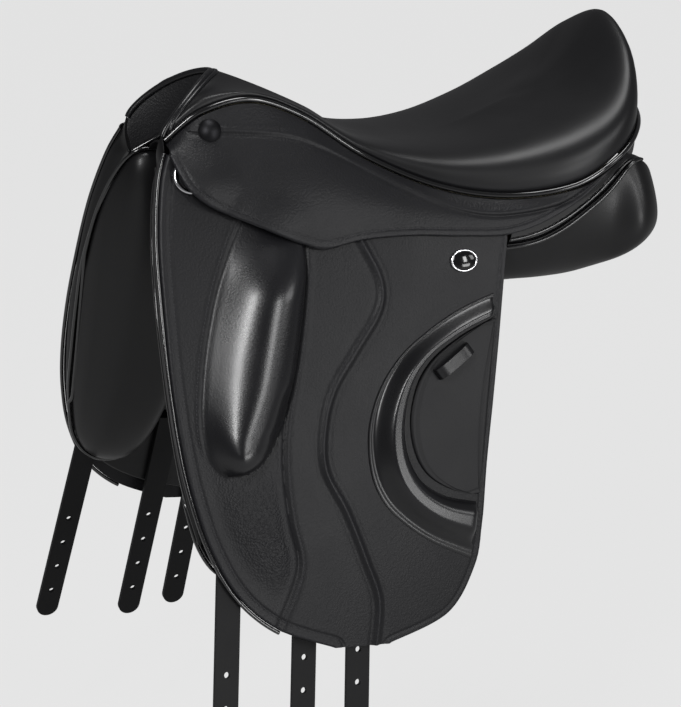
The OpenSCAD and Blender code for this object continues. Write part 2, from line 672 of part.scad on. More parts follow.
// Upper stretches of the three straps, sewn to the tree and held flat under the flap
strap_top_z = [-8, -14, -16];
swing_room = 3.5;
strap_top_low = pivot_z + strap_t + swing_room;
function strap_rail(i, s) =
    [for (t = [0, 0.5, 1])
        let (z = lerp(strap_top_z[i], strap_top_low, t))
        [strap_x[i] + (z - pivot_z) * tan(strap_lean[i]) + s * strap_w / 2, z]];
module strap_tops() {
    color(leather)
        for (i = [0:2])
            shell(patch(strap_rail(i, -1), strap_rail(i, 1), 6, 2, strap_out - strap_t),
                patch(strap_rail(i, -1), strap_rail(i, 1), 6, 2, strap_out));
}

// Webs that run under the tree along a rib and down to the tops of the two rear straps
web_w = 24;
web_t = 1.6;
web_u = [0.25, 0.32];
web_du = 0.027;
web_mid_z = 24;
web_room = 6;
web_clear = 1.6;
module girth_webs() {
    function under(u, v, d, s) = seat(u, v, steel_top(u) + spring_t + web_clear + d, s);
    function beside(x, z, out, s) = [x, s * (side(x, z) + out), z];
    // Half a web from the middle outward, at its front edge (e = -1) or its rear edge (e = 1)
    function half_web(i, e, d, s) =
        let (z = strap_top_z[i], x = strap_x[i] + (z - pivot_z) * tan(strap_lean[i]) + e * web_w / 2)
        let (foot_out = strap_out - strap_t / 2 + web_t / 2 - d)
        concat([for (v = [0, 0.25, 0.5, 0.72]) under(web_u[i - 1] + e * web_du, v, d, s)],
            [beside(x, web_mid_z, point_out - point_t - web_room - d, s), beside(x, z + 1, foot_out, s)]);
    function whole(i, e, d) =
        let (near_half = half_web(i, e, d, -1), n = len(near_half))
        concat([for (k = [n - 1:-1:1]) near_half[k]], half_web(i, e, d, 1));
    function grid(i, d) =
        let (a = whole(i, -1, d), b = whole(i, 1, d))
        [for (k = [0:len(a) - 1]) [b[k], a[k]]];
    color(canvas)
        for (i = [1, 2])
            shell(grid(i, 0), grid(i, web_t));
}

// Stirrup bar: forged hook with a fork for its catch at the open end
fork_slot = 5;
bar_root = 11;
bar_foot = 24;
bar_boss = 0.5;
catch_clear = 0.25;
catch_l = bar_gap - 1.5;
bar_front = bar_base + bar_gap;
module stirrup_bar() {
    r = bar_t / 2;
    color(steel)
        on_side(bar_x, bar_z, 0)
            difference() {
                translate([0, 0, -bar_h / 2])
                    linear_extrude(height = bar_h)
                        union() {
                            translate([-bar_l / 2, bar_base]) square([bar_root, bar_gap + r]);
                            translate([-bar_l / 2 - 4, bar_base]) square([bar_foot, 3]);
                            translate([-bar_l / 2, bar_front]) square([bar_l, bar_t]);
                            translate([bar_l / 2, bar_front + r]) circle(r + bar_boss, $fn = 32);
                        }
                translate([bar_l / 2 - r - 1, bar_front - 1, -fork_slot / 2])
                    cube([bar_t + 4, bar_t + 2, fork_slot]);
                translate([bar_l / 2, bar_front + r, -bar_h / 2 - 1])
                    cylinder(h = bar_h + 2, d = pin_d + 2 * catch_clear, $fn = 32);
            }
}
module bar_catch() {
    r = bar_t / 2;
    color(steel)
        on_side(bar_x, bar_z, 0)
            translate([bar_l / 2, bar_front + r, 0]) {
                cylinder(h = bar_h, d = pin_d, center = true, $fn = 32);
                translate([0, 0, -fork_slot / 2 + catch_clear])
                    linear_extrude(height = fork_slot - 2 * catch_clear)
                        union() {
                            circle(r - catch_clear, $fn = 32);
                            translate([0, -r + 1]) square([catch_l + r, bar_t - 2]);
                        }
            }
}

// Staple dee whose loop shows in front of the skirt
dee_x = -222;
dee_z = 46;
dee_r = 14;
dee_tab = 16;
dee_tab_t = 1.6;
module dee() {
    y = block_in + dee_wire / 2;
    color(steel)
        on_side(dee_x, dee_z, 0)
            translate([0, y, 0]) {
                rotate([90, -90, 0])
                    rotate_extrude(angle = 180, $fn = 64)
                        translate([dee_r, 0]) circle(d = dee_wire, $fn = 24);
                cylinder(h = 2 * dee_r, d = dee_wire, center = true, $fn = 24);
                translate([0, -dee_wire / 2, -dee_tab / 2]) cube([dee_tab, dee_tab_t, dee_tab]);
                translate([0, 0, -dee_tab / 2]) cylinder(h = dee_tab, d = dee_wire + 0.6, $fn = 24);
            }
}

tree_frame();
head_arch();
spring_steels();
seat_webbing();
girth_webs();
seat_foam();
seat_cover();
seat_welt();
pommel_facing();
cantle_facing();
gullet_lining();
near() skirt_band();  // skirt_band_near
skirt_band();  // skirt_band_off
near() skirt();  // skirt_near
skirt();  // skirt_off
near() nail();  // nail_near
nail();  // nail_off
near() flap_head();  // flap_head_near
flap_head();  // flap_head_off
near() flap();  // flap_near
flap();  // flap_off
near() flap_piping();  // flap_piping_near
flap_piping();  // flap_piping_off
near() knee_block();  // knee_block_near
knee_block();  // knee_block_off
near() thigh_block();  // thigh_block_near
thigh_block();  // thigh_block_off
near() flap_insert();  // flap_insert_near
flap_insert();  // flap_insert_off
near() keeper();  // keeper_near
keeper();  // keeper_off
near() stud();  // stud_near
stud();  // stud_off
near() sweat_flap();  // sweat_flap_near
sweat_flap();  // sweat_flap_off
near() panel();  // panel_near
panel();  // panel_off
near() panel_piping();  // panel_piping_near
panel_piping();  // panel_piping_off
near() stirrup_bar();  // stirrup_bar_near
stirrup_bar();  // stirrup_bar_off
near() bar_catch();  // bar_catch_near
bar_catch();  // bar_catch_off
near() dee();  // dee_near
dee();  // dee_off
near() strap_tops();  // strap_tops_near
strap_tops();  // strap_tops_off
near() girth_strap(0);  // girth_strap_1_near
girth_strap(0);  // girth_strap_1_off
near() girth_strap(1);  // girth_strap_2_near
girth_strap(1);  // girth_strap_2_off
near() girth_strap(2);  // girth_strap_3_near
girth_strap(2);  // girth_strap_3_off
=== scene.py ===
"""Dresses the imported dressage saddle: leather, padding, stitching, fittings, studio and camera."""

import json
import logging
import math
from dataclasses import dataclass, field
from enum import Enum
from typing import Any, Callable, Optional, Sequence, Union

import bpy
import numpy as np
from mathutils import Matrix, Vector, noise

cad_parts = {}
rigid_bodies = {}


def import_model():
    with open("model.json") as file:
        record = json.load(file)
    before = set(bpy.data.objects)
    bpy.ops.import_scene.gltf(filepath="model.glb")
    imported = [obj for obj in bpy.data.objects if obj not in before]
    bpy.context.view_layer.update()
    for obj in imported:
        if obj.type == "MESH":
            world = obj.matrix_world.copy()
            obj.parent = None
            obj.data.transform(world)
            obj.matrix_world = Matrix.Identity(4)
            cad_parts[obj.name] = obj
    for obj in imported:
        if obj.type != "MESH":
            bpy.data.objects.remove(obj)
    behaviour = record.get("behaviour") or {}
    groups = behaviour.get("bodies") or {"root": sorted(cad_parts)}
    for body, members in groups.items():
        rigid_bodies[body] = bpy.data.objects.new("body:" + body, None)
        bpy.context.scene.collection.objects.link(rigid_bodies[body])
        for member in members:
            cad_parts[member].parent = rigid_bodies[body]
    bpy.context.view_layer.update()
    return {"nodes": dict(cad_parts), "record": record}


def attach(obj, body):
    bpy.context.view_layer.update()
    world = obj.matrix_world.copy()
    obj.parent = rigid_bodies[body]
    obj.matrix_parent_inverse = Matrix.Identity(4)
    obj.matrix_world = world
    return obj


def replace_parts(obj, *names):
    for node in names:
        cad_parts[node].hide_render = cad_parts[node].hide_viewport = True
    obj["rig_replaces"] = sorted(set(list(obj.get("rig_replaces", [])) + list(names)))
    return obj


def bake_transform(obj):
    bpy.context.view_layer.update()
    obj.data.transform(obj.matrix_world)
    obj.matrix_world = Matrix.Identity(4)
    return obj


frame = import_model()
LOG = logging.getLogger("saddle")
MM = 0.001
Array = np.ndarray
Rail = Sequence[Sequence[float]]
Number = Union[int, float, "Sock"]


class Side(Enum):
    """Side of the horse that a piece lies on, with the sign of its Y."""

    NEAR = -1
    OFF = 1

    @property
    def tag(self) -> str:
        """Ending of the names of this side's pieces."""
        return self.name.lower()

    @property
    def flip(self) -> Array:
        """Factors that turn places of the off side into places of this side."""
        return np.array([1, self.value, 1])


class Layer(Enum):
    """Distance of each leather layer from the side surface, in millimetres."""

    FLAP_IN = 0.0
    FLAP_OUT = 4.0
    BLOCK = 4.3
    SKIRT = 5.2
    SWEAT_OUT = -7.8
    SWEAT_IN = -10.2


class Line:
    """Smooth curves and distances in numpy."""

    @staticmethod
    def at(points: Rail, t: Array, mirrored: bool = False) -> Array:
        """Points on the smooth curve through the given points.

        Args:
            points: control points, all with the same number of values.
            t: places from 0 to 1.
            mirrored: the curve goes on past its end as its own mirror image in the second value.

        Returns:
            One row for each value of t.
        """
        p = np.asarray(points, float)
        n = len(p) - 1
        s = np.clip(np.asarray(t, float), 0, 1) * n
        i = np.minimum(s.astype(int), n - 1)
        f = (s - i)[..., None]
        after = np.vstack([p, p[-1:]])
        if mirrored:
            after[-1] = p[-2]
            if p.shape[1] == 3:
                after[-1, 1] *= -1
        a, b, c, d = p[np.maximum(i - 1, 0)], p[i], p[i + 1], after[i + 2]
        square, cube = 2 * a - 5 * b + 4 * c - d, 3 * b - a - 3 * c + d
        return 0.5 * (2 * b + (c - a) * f + square * f**2 + cube * f**3)

    @staticmethod
    def even(points: Rail, count: int) -> Array:
        """The given number of points at equal steps of length along the smooth curve."""
        fine = Line.at(points, np.linspace(0, 1, 40 * len(points)))
        return Line.resample(fine, count)

    @staticmethod
    def resample(fine: Array, count: int) -> Array:
        """The polyline with the given number of equal steps of length.

        Args:
            fine: points of the polyline.
            count: number of points wanted.

        Returns:
            The points, one row each.
        """
        run = np.concatenate([[0], np.cumsum(np.linalg.norm(np.diff(fine, axis=0), axis=1))])
        want = np.linspace(0, run[-1], count)
        return np.stack([np.interp(want, run, fine[:, k]) for k in range(fine.shape[1])], axis=1)

    @staticmethod
    def gap(x: Array, z: Array, points: Rail, steps: int = 70) -> tuple[Array, Array]:
        """Distance of points from a line on the side, with its sign, and the place along the line.

        Args:
            x: first coordinate of the points.
            z: second coordinate.
            points: control points of the line, a smooth curve through them.
            steps: number of points that stand for the curve.

        Returns:
            Distance, positive on the right of the line's direction with z up, and the share of length.
        """
        line = Line.even(points, steps)
        p = np.stack([x.ravel(), z.ravel()], axis=1)
        best = np.full(len(p), 1e9)
        sign = np.ones(len(p))
        place = np.zeros(len(p))
        for k in range(len(line) - 1):
            a, e = line[k], line[k + 1] - line[k]
            t = np.clip(((p - a) @ e) / (e @ e), 0, 1)
            off = p - a - t[:, None] * e
            d = np.hypot(off[:, 0], off[:, 1])
            closer = d < best
            best = np.where(closer, d, best)
            turn = e[1] * (p[:, 0] - a[0]) - e[0] * (p[:, 1] - a[1])
            sign = np.where(closer, np.where(turn >= 0, 1, -1), sign)
            place = np.where(closer, (k + t) / (len(line) - 1), place)
        return (best * sign).reshape(x.shape), place.reshape(x.shape)

    @staticmethod
    def relax(path: Array, passes: int) -> Array:
        """Evens out a path between its ends.

        Args:
            path: values along the path, changed in place.
            passes: number of times that each value moves towards its neighbours.

        Returns:
            The same path.
        """
        for _ in range(passes):
            path[1:-1] = (path[:-2] + 2 * path[1:-1] + path[2:]) / 4
        return path

    @staticmethod
    def ease(v: Array) -> Array:
        """Smooth step from 0 to 1."""
        c = np.clip(v, 0, 1)
        return c * c * (3 - 2 * c)

    @staticmethod
    def dome(v: Array) -> Array:
        """Quarter-round rise from 0 to 1."""
        c = np.clip(v, 0, 1)
        return np.sqrt(1 - (1 - c) ** 2)

    @staticmethod
    def bump(d: Array, width: float) -> Array:
        """Soft ridge of the given half width, 1 on the line."""
        return np.exp(-((d / width) ** 2))


class Sides:
    """Side surface of the saddle, on which flaps, skirts and straps lie.

    TOP is the height where it starts and HALF the half width there, which grows downward by SLOPE less CURVE.
    Over LENGTH, from the front back to x = 0, it grows by FLARE, less NARROW for each millimetre down.
    """

    TOP = 70
    HALF = 47
    SLOPE = 0.5
    CURVE = 0.00028
    LENGTH = 265
    FLARE = 40
    NARROW = 0.13

    @staticmethod
    def y(x: Array, z: Array) -> Array:
        """Half width at x and z, in millimetres.

        Args:
            x: lengthwise coordinate in millimetres.
            z: height in millimetres.

        Returns:
            Half width at each place.
        """
        d = Sides.TOP - z
        flare = (x + Sides.LENGTH) / Sides.LENGTH * (Sides.FLARE - Sides.NARROW * d)
        return Sides.HALF + Sides.SLOPE * d - Sides.CURVE * d * d + flare

    @staticmethod
    def normal(x: Array, z: Array) -> Array:
        """Outward normal of the off side's surface.

        Args:
            x: lengthwise coordinate in millimetres.
            z: height in millimetres.

        Returns:
            Unit directions, one for each place.
        """
        d = Sides.TOP - z
        ahead = -(Sides.FLARE - Sides.NARROW * d) / Sides.LENGTH
        up = -(2 * Sides.CURVE * d - Sides.SLOPE + Sides.NARROW * (x + Sides.LENGTH) / Sides.LENGTH)
        n = np.stack([ahead, np.ones_like(d), up], axis=-1)
        return n / np.linalg.norm(n, axis=-1, keepdims=True)

    @staticmethod
    def place(x: Array, z: Array, out: Union[Array, float], side: Side) -> Array:
        """Points at a distance outward along Y from the surface: millimetres in, metres out."""
        return np.stack([x, side.value * (Sides.y(x, z) + out), z], axis=-1) * MM

    @staticmethod
    def patch(front: Rail, rear: Rail, rows: int, cols: int) -> tuple[Array, Array]:
        """Grid of x and z between a front and a rear rail.

        Args:
            front: control points of the front rail, from the top.
            rear: control points of the rear rail.
            rows: number of steps down.
            cols: number of steps across.

        Returns:
            The x values and the z values.
        """
        t = np.linspace(0, 1, rows + 1)
        a, b = Line.at(front, t), Line.at(rear, t)
        s = np.linspace(0, 1, cols + 1)[None, :, None]
        p = a[:, None] * (1 - s) + b[:, None] * s
        return p[..., 0], p[..., 1]


class Bench:
    """Modelling steps shared by the sub-assemblies."""

    @staticmethod
    def clear() -> None:
        """Deselects everything."""
        if bpy.context.object and bpy.context.object.mode != "OBJECT":
            bpy.ops.object.mode_set(mode="OBJECT")
        bpy.ops.object.select_all(action="DESELECT")

    @staticmethod
    def hold(obj: bpy.types.Object) -> None:
        """Makes the object the only selected and active one.

        Args:
            obj: the object.
        """
        Bench.clear()
        obj.select_set(True)
        bpy.context.view_layer.objects.active = obj

    @staticmethod
    def grid(name: str, outer: Array) -> bpy.types.Object:
        """A grid primitive whose points take the given places.

        Args:
            name: name of the piece.
            outer: places in rows and columns, in metres.

        Returns:
            The new object, whose points keep their grid number in the attribute cell.
        """
        rows, cols = outer.shape[:2]
        Bench.clear()
        bpy.ops.mesh.primitive_grid_add(x_subdivisions=cols - 1, y_subdivisions=rows - 1, size=2)
        obj = bpy.context.object
        obj.name = obj.data.name = name
        mesh = obj.data
        co = np.empty(len(mesh.vertices) * 3)
        mesh.vertices.foreach_get("co", co)
        co = co.reshape(-1, 3)
        j = np.rint((co[:, 0] + 1) / 2 * (cols - 1)).astype(int)
        i = np.rint((co[:, 1] + 1) / 2 * (rows - 1)).astype(int)
        cell = i * cols + j
        mesh.attributes.new("cell", "INT", "POINT").data.foreach_set("value", cell.astype(np.int32))
        mesh.vertices.foreach_set("co", outer.reshape(-1, 3)[cell].ravel())
        mesh.update()
        return obj

    @staticmethod
    def shell(name: str, outer: Array, inner: Array, wear: Optional[Array] = None, fold: bool = False,
              cut: Optional[Callable[[Vector], bool]] = None, **marks: Array) -> bpy.types.Object:
        """Closed leather piece between an outer and an inner face.

        Args:
            name: name of the piece.
            outer: places of the outer face in rows and columns, in metres.
            inner: places of the inner face.
            wear: share of lighter colour on the outer face, for wear at the edges and for painted highlights.
            fold: the last row closes on itself.
            cut: tells by the middle of a face whether it is cut out.
            marks: shares of gloss and of coarse grain on the outer face.

        Returns:
            The new object.
        """
        obj = Bench.grid(name, outer)
        Bench.hold(obj)
        bpy.ops.object.mode_set(mode="EDIT")
        bpy.ops.mesh.select_all(action="SELECT")
        if fold:
            bpy.ops.mesh.remove_doubles(threshold=1e-6)
        if cut:
            bpy.ops.mesh.select_mode(type="FACE")
            bpy.ops.mesh.select_all(action="DESELECT")
            bpy.ops.object.mode_set(mode="OBJECT")
            for face in obj.data.polygons:
                face.select = cut(face.center)
            bpy.ops.object.mode_set(mode="EDIT")
            bpy.ops.mesh.delete(type="FACE")
            bpy.ops.mesh.select_mode(type="VERT")
        bpy.ops.mesh.select_all(action="SELECT")
        bpy.ops.mesh.extrude_region()
        bpy.ops.object.mode_set(mode="OBJECT")
        mesh = obj.data
        n = len(mesh.vertices)
        fresh = np.empty(n, bool)
        mesh.vertices.foreach_get("select", fresh)
        cell = np.empty(n, np.int32)
        mesh.attributes["cell"].data.foreach_get("value", cell)
        co = np.where(fresh[:, None], inner.reshape(-1, 3)[cell], outer.reshape(-1, 3)[cell])
        mesh.vertices.foreach_set("co", co.ravel())
        if wear is not None:
            marks["wear"] = wear
        for mark, share in marks.items():
            value = np.where(fresh, 0, share.ravel()[cell]).astype(np.float32)
            mesh.attributes.new(mark, "FLOAT", "POINT").data.foreach_set("value", value)
        mesh.update()
        Bench.outward(obj)
        return obj

    @staticmethod
    def outward(obj: bpy.types.Object, angle: float = 50) -> None:
        """Points the faces outward and shades them smooth up to an angle in degrees.

        Args:
            obj: the object.
            angle: largest angle that is shaded smooth, in degrees.
        """
        Bench.hold(obj)
        bpy.ops.object.mode_set(mode="EDIT")
        bpy.ops.mesh.select_all(action="SELECT")
        bpy.ops.mesh.normals_make_consistent(inside=False)
        bpy.ops.object.mode_set(mode="OBJECT")
        bpy.ops.object.shade_smooth_by_angle(angle=math.radians(angle))

    @staticmethod
    def loft(name: str, rings: Array) -> bpy.types.Object:
        """Closed piece through rings of points, with its ends filled.

        Args:
            name: name of the piece.
            rings: places, one ring in each row, in metres, whose last point repeats the first.

        Returns:
            The new object.
        """
        obj = Bench.grid(name, rings)
        Bench.hold(obj)
        bpy.ops.object.mode_set(mode="EDIT")
        bpy.ops.mesh.select_all(action="SELECT")
        bpy.ops.mesh.remove_doubles(threshold=1e-6)
        bpy.ops.mesh.select_all(action="SELECT")
        bpy.ops.mesh.fill_holes(sides=0)
        bpy.ops.object.mode_set(mode="OBJECT")
        Bench.outward(obj, 60)
        return obj

    @staticmethod
    def rope(name: str, path: Array, radius: float, closed: bool = False) -> bpy.types.Object:
        """Round cord along a path, as a mesh.

        Args:
            name: name of the piece.
            path: points in metres.
            radius: radius in metres.
            closed: the cord runs back to its start.

        Returns:
            The new object.
        """
        Bench.clear()
        curve = bpy.data.curves.new(name, "CURVE")
        curve.dimensions = "3D"
        curve.bevel_depth = radius
        curve.bevel_resolution = 3
        curve.use_fill_caps = True
        spline = curve.splines.new("POLY")
        spline.points.add(len(path) - 1)
        for point, p in zip(spline.points, path):
            point.co = (*p, 1)
        spline.use_cyclic_u = closed
        obj = bpy.data.objects.new(name, curve)
        bpy.context.scene.collection.objects.link(obj)
        Bench.hold(obj)
        bpy.ops.object.convert(target="MESH")
        bpy.ops.object.mode_set(mode="EDIT")
        bpy.ops.mesh.select_all(action="SELECT")
        bpy.ops.mesh.remove_doubles(threshold=1e-6)
        bpy.ops.object.mode_set(mode="OBJECT")
        Bench.outward(bpy.context.object, 60)
        return bpy.context.object

    @staticmethod
    def thread(name: str, path: Array, normal: Array, pitch: float = 3.4, length: float = 2.5,
               width: float = 0.75) -> bpy.types.Object:
        """A row of sewn stitches along a path, as one mesh.

        Args:
            name: name of the piece.
            path: points in metres.
            normal: outward direction at each point.
            pitch: distance from stitch to stitch in millimetres.
            length: length of a stitch in millimetres.
            width: thickness of the thread in millimetres.

        Returns:
            The new object.
        """
        steps = np.linalg.norm(np.diff(path, axis=0), axis=1)
        total = steps.sum()
        count = max(2, int(total / (pitch * MM)))
        run = np.concatenate([[0], np.cumsum(steps)])

        def at(values: Array, where: Array) -> Array:
            """Values of the path's points at the given lengths."""
            return np.stack([np.interp(where, run, values[:, k]) for k in range(3)], axis=1)

        want = (np.arange(count) + 0.5) * total / count
        near = 0.3 * MM
        mid, up = at(path, want), at(normal, want)
        along = at(path, want + near) - at(path, want - near)
        along /= np.linalg.norm(along, axis=1, keepdims=True)
        across = np.cross(along, up)
        across /= np.linalg.norm(across, axis=1, keepdims=True)
        up = np.cross(across, along)
        half, w = length / 2 * MM, width / 2 * MM
        shape = [(-1, 0, -0.9), (-0.6, 1, 0), (-0.6, 0, 1), (-0.6, -1, 0), (-0.6, 0, -1),
                 (0.6, 1, 0), (0.6, 0, 1), (0.6, -1, 0), (0.6, 0, -1), (1, 0, -0.9)]
        verts = np.stack([mid + a * half * along + (b * across + c * up) * w for a, b, c in shape], axis=1)
        faces = [(0, 2, 1), (0, 3, 2), (0, 4, 3), (0, 1, 4), (9, 5, 6), (9, 6, 7), (9, 7, 8), (9, 8, 5),
                 (1, 2, 6, 5), (2, 3, 7, 6), (3, 4, 8, 7), (4, 1, 5, 8)]
        mesh = bpy.data.meshes.new(name)
        mesh.from_pydata(verts.reshape(-1, 3).tolist(), [],
                         [tuple(10 * k + v for v in f) for k in range(count) for f in faces])
        obj = bpy.data.objects.new(name, mesh)
        bpy.context.scene.collection.objects.link(obj)
        Bench.outward(obj, 80)
        return obj


class Sock:
    """A shader socket that takes part in Python expressions."""

    def __init__(self, paint: "Paint", socket: bpy.types.NodeSocket) -> None:
        """Wraps one output socket of a node tree."""
        self.paint = paint
        self.socket = socket

    def _math(self, operation: str, a: Number, b: Number) -> "Sock":
        """Adds one Math node and returns its value."""
        return self.paint.node("ShaderNodeMath", {"operation": operation}, {0: a, 1: b})

    def __add__(self, other: Number) -> "Sock":
        """Sum."""
        return self._math("ADD", self, other)

    __radd__ = __add__

    def __sub__(self, other: Number) -> "Sock":
        """Difference."""
        return self._math("SUBTRACT", self, other)

    def __rsub__(self, other: Number) -> "Sock":
        """Difference from a number."""
        return self._math("SUBTRACT", other, self)

    def __mul__(self, other: Number) -> "Sock":
        """Product."""
        return self._math("MULTIPLY", self, other)

    __rmul__ = __mul__

    def limit(self) -> "Sock":
        """Value held between 0 and 1."""
        return self.paint.node("ShaderNodeClamp", {}, {0: self})


class Paint:
    """Builds the nodes of one material or world."""

    def __init__(self, block: Union[bpy.types.Material, bpy.types.World]) -> None:
        """Starts with no nodes.

        Args:
            block: the material or world.
        """
        self.block = block
        self.block.use_nodes = True
        self.tree = self.block.node_tree
        self.tree.nodes.clear()

    @classmethod
    def new(cls, name: str) -> "Paint":
        """Starts an empty material of that name."""
        return cls(bpy.data.materials.new(name))

    def node(self, kind: str, settings: dict[str, Any], inputs: dict[Union[int, str], Any],
             out: Union[int, str] = 0) -> Sock:
        """Adds any node.

        Args:
            kind: Blender's name of the node's type.
            settings: properties, set first.
            inputs: values or sockets by number or name.
            out: number or name of the output that is wanted.

        Returns:
            That output.
        """
        made = self.tree.nodes.new(kind)
        for key, value in settings.items():
            setattr(made, key, value)
        for key, value in inputs.items():
            if isinstance(value, Sock):
                self.tree.links.new(value.socket, made.inputs[key])
            else:
                made.inputs[key].default_value = value
        return Sock(self, made.outputs[out])

    def noise(self, place: Sock, size_mm: float, detail: float = 3) -> Sock:
        """Cloudy pattern with features of the given size in millimetres."""
        scale = 1 / (size_mm * MM)
        return self.node("ShaderNodeTexNoise", {}, {"Vector": place, "Scale": scale, "Detail": detail})

    def bump(self, height: Sock, strength: float, depth_mm: float) -> Sock:
        """Normals of a relief whose depth is given in millimetres."""
        inputs = {"Strength": strength, "Distance": depth_mm * MM, "Height": height}
        return self.node("ShaderNodeBump", {}, inputs)

    def mix(self, share: Number, a: Any, b: Any) -> Sock:
        """Mix of two colours."""
        return self.node("ShaderNodeMix", {"data_type": "RGBA"}, {0: share, 6: a, 7: b}, 2)

    def place(self) -> Sock:
        """Coordinates on the piece, in metres."""
        return self.node("ShaderNodeTexCoord", {}, {}, "Object")

    def attribute(self, name: str) -> Sock:
        """Value that the piece's points carry under that name."""
        return self.node("ShaderNodeAttribute", {"attribute_name": name}, {}, "Fac")

    def finish(self, **inputs: Any) -> bpy.types.Material:
        """Closes the material with a Principled shader whose sockets take the given values.

        Args:
            inputs: values or sockets by the shader's names, with underscores for spaces.

        Returns:
            The material.
        """
        named = {key.replace("_", " "): value for key, value in inputs.items()}
        self.close(self.node("ShaderNodeBsdfPrincipled", {}, named), "ShaderNodeOutputMaterial")
        return self.block

    def close(self, shader: Sock, kind: str) -> None:
        """Links a shader to a new output node of the given type."""
        end = self.tree.nodes.new(kind)
        self.tree.links.new(shader.socket, end.inputs["Surface"])

    def rays(self) -> tuple[Sock, Sock]:
        """Shares of rays that come from the camera, and of mirrored or refracted ones.

        Returns:
            The two shares, each 0 or 1.
        """
        seen = self.node("ShaderNodeLightPath", {}, {}, "Is Camera Ray")
        outputs = seen.socket.node.outputs
        return seen, Sock(self, outputs["Is Glossy Ray"]) + Sock(self, outputs["Is Transmission Ray"])


Colour = tuple[float, float, float]


def tone(colour: Colour, factor: float) -> tuple[float, float, float, float]:
    """The colour made lighter or darker, with full alpha."""
    return (colour[0] * factor, colour[1] * factor, colour[2] * factor, 1.0)


@dataclass(frozen=True)
class Leather:
    """A leather finish: colour, gloss and grain."""

    name: str
    colour: Colour
    rough: float
    grain_mm: float
    depth_mm: float
    strength: float
    coat: float = 0.0
    coat_rough: float = 0.2
    specular: float = 0.5

    def build(self) -> bpy.types.Material:
        """Makes the material.

        Returns:
            A material with cells of grain, fine pores, broad changes of tone, and a lighter colour that shows
            worn edges and painted highlights.
        """
        p = Paint.new(self.name)
        at = p.place()
        size = self.grain_mm * MM
        warp = p.node("ShaderNodeTexNoise", {}, {"Vector": at, "Scale": 0.6 / size, "Detail": 2}, "Color")
        push = p.node("ShaderNodeVectorMath", {"operation": "MULTIPLY"}, {0: warp, 1: (0.8 * size,) * 3})
        bent = p.node("ShaderNodeVectorMath", {"operation": "ADD"}, {0: at, 1: push})
        cells = p.node("ShaderNodeTexVoronoi", {"feature": "SMOOTH_F1"},
                       {"Vector": bent, "Scale": 1 / size, "Smoothness": 0.4})
        pores = p.noise(at, self.grain_mm * 0.35, 2)
        broad = p.noise(at, 55, 4)
        wear, gloss, grain = (p.attribute(mark) for mark in ("wear", "gloss", "grain"))
        height = 1 - cells * (grain * 2.6 - gloss * 0.5 + 0.8) + pores * 0.35
        shade = p.mix(broad, tone(self.colour, 0.8), tone(self.colour, 1.25))
        shade = p.mix((cells * 0.35).limit(), shade, tone(self.colour, 0.7))
        # Lighter colour where the mark is high: wear at the edges, painted highlights along the flap's ridge
        # and the thigh block's crest, and a lighter tone over the insert's face.
        shade = p.mix((wear * (broad * 0.6 + 0.1)).limit(), shade, tone(self.colour, 2.6))
        rough = (self.rough + (broad - 0.5) * 0.14 + cells * 0.06 - wear * 0.06 - gloss * 0.16).limit()
        bump = p.bump(height, self.strength, self.depth_mm)
        return p.finish(Base_Color=shade, Roughness=rough, Normal=bump,
                        Coat_Weight=(gloss * 0.5 + self.coat).limit(), Coat_Roughness=self.coat_rough,
                        Specular_IOR_Level=self.specular)


@dataclass(frozen=True)
class Metal:
    """A metal finish, polished or brushed."""

    name: str
    colour: Colour
    rough: float
    scratch: float = 0.1

    def build(self) -> bpy.types.Material:
        """Makes the material with fine scratches and dull patches.

        Returns:
            The material.
        """
        p = Paint.new(self.name)
        at = p.place()
        broad = p.noise(at, 12, 4)
        fine = p.noise(at, 0.5, 2)
        shade = p.mix(broad, tone(self.colour, 0.85), tone(self.colour, 1.0))
        rough = (self.rough + (broad - 0.5) * self.scratch + fine * self.scratch * 0.4).limit()
        return p.finish(Base_Color=shade, Roughness=rough, Metallic=1.0, Normal=p.bump(fine, 0.08, 0.1))


@dataclass(frozen=True)
class Cloth:
    """Woven web or foam: a pattern of threads or cells."""

    name: str
    colour: Colour
    thread_mm: float
    woven: bool

    def build(self) -> bpy.types.Material:
        """Makes the material with its weave or its pores.

        Returns:
            The material.
        """
        p = Paint.new(self.name)
        at = p.place()
        broad = p.noise(at, 20, 3)
        if self.woven:
            inputs = {"Vector": at, "Scale": 0.31 / (self.thread_mm * MM)}
            warp, weft = (p.node("ShaderNodeTexWave", {"bands_direction": way}, inputs) for way in "XZ")
            height = warp * 0.5 + weft * 0.5
        else:
            height = p.noise(at, self.thread_mm, 3)
        shade = p.mix((height * 0.6 + broad * 0.4).limit(), tone(self.colour, 0.65), tone(self.colour, 1.1))
        return p.finish(Base_Color=shade, Roughness=0.85, Normal=p.bump(height, 0.4, 0.4), Sheen_Weight=0.2)


@dataclass(frozen=True)
class Beech:
    """Laminated beech of the tree."""

    name: str
    colour: Colour

    def build(self) -> bpy.types.Material:
        """Makes the material with long grain and flecks.

        Returns:
            The material.
        """
        p = Paint.new(self.name)
        at = p.place()
        long = p.node("ShaderNodeMapping", {}, {"Vector": at, "Scale": (1, 14, 14)})
        grain = p.noise(long, 40, 5)
        fleck = p.noise(at, 2.5, 2)
        shade = p.mix(grain, tone(self.colour, 0.6), tone(self.colour, 1.15))
        bump = p.bump(grain * 0.6 + fleck * 0.4, 0.2, 0.3)
        return p.finish(Base_Color=shade, Roughness=0.45, Normal=bump, Coat_Weight=0.3)


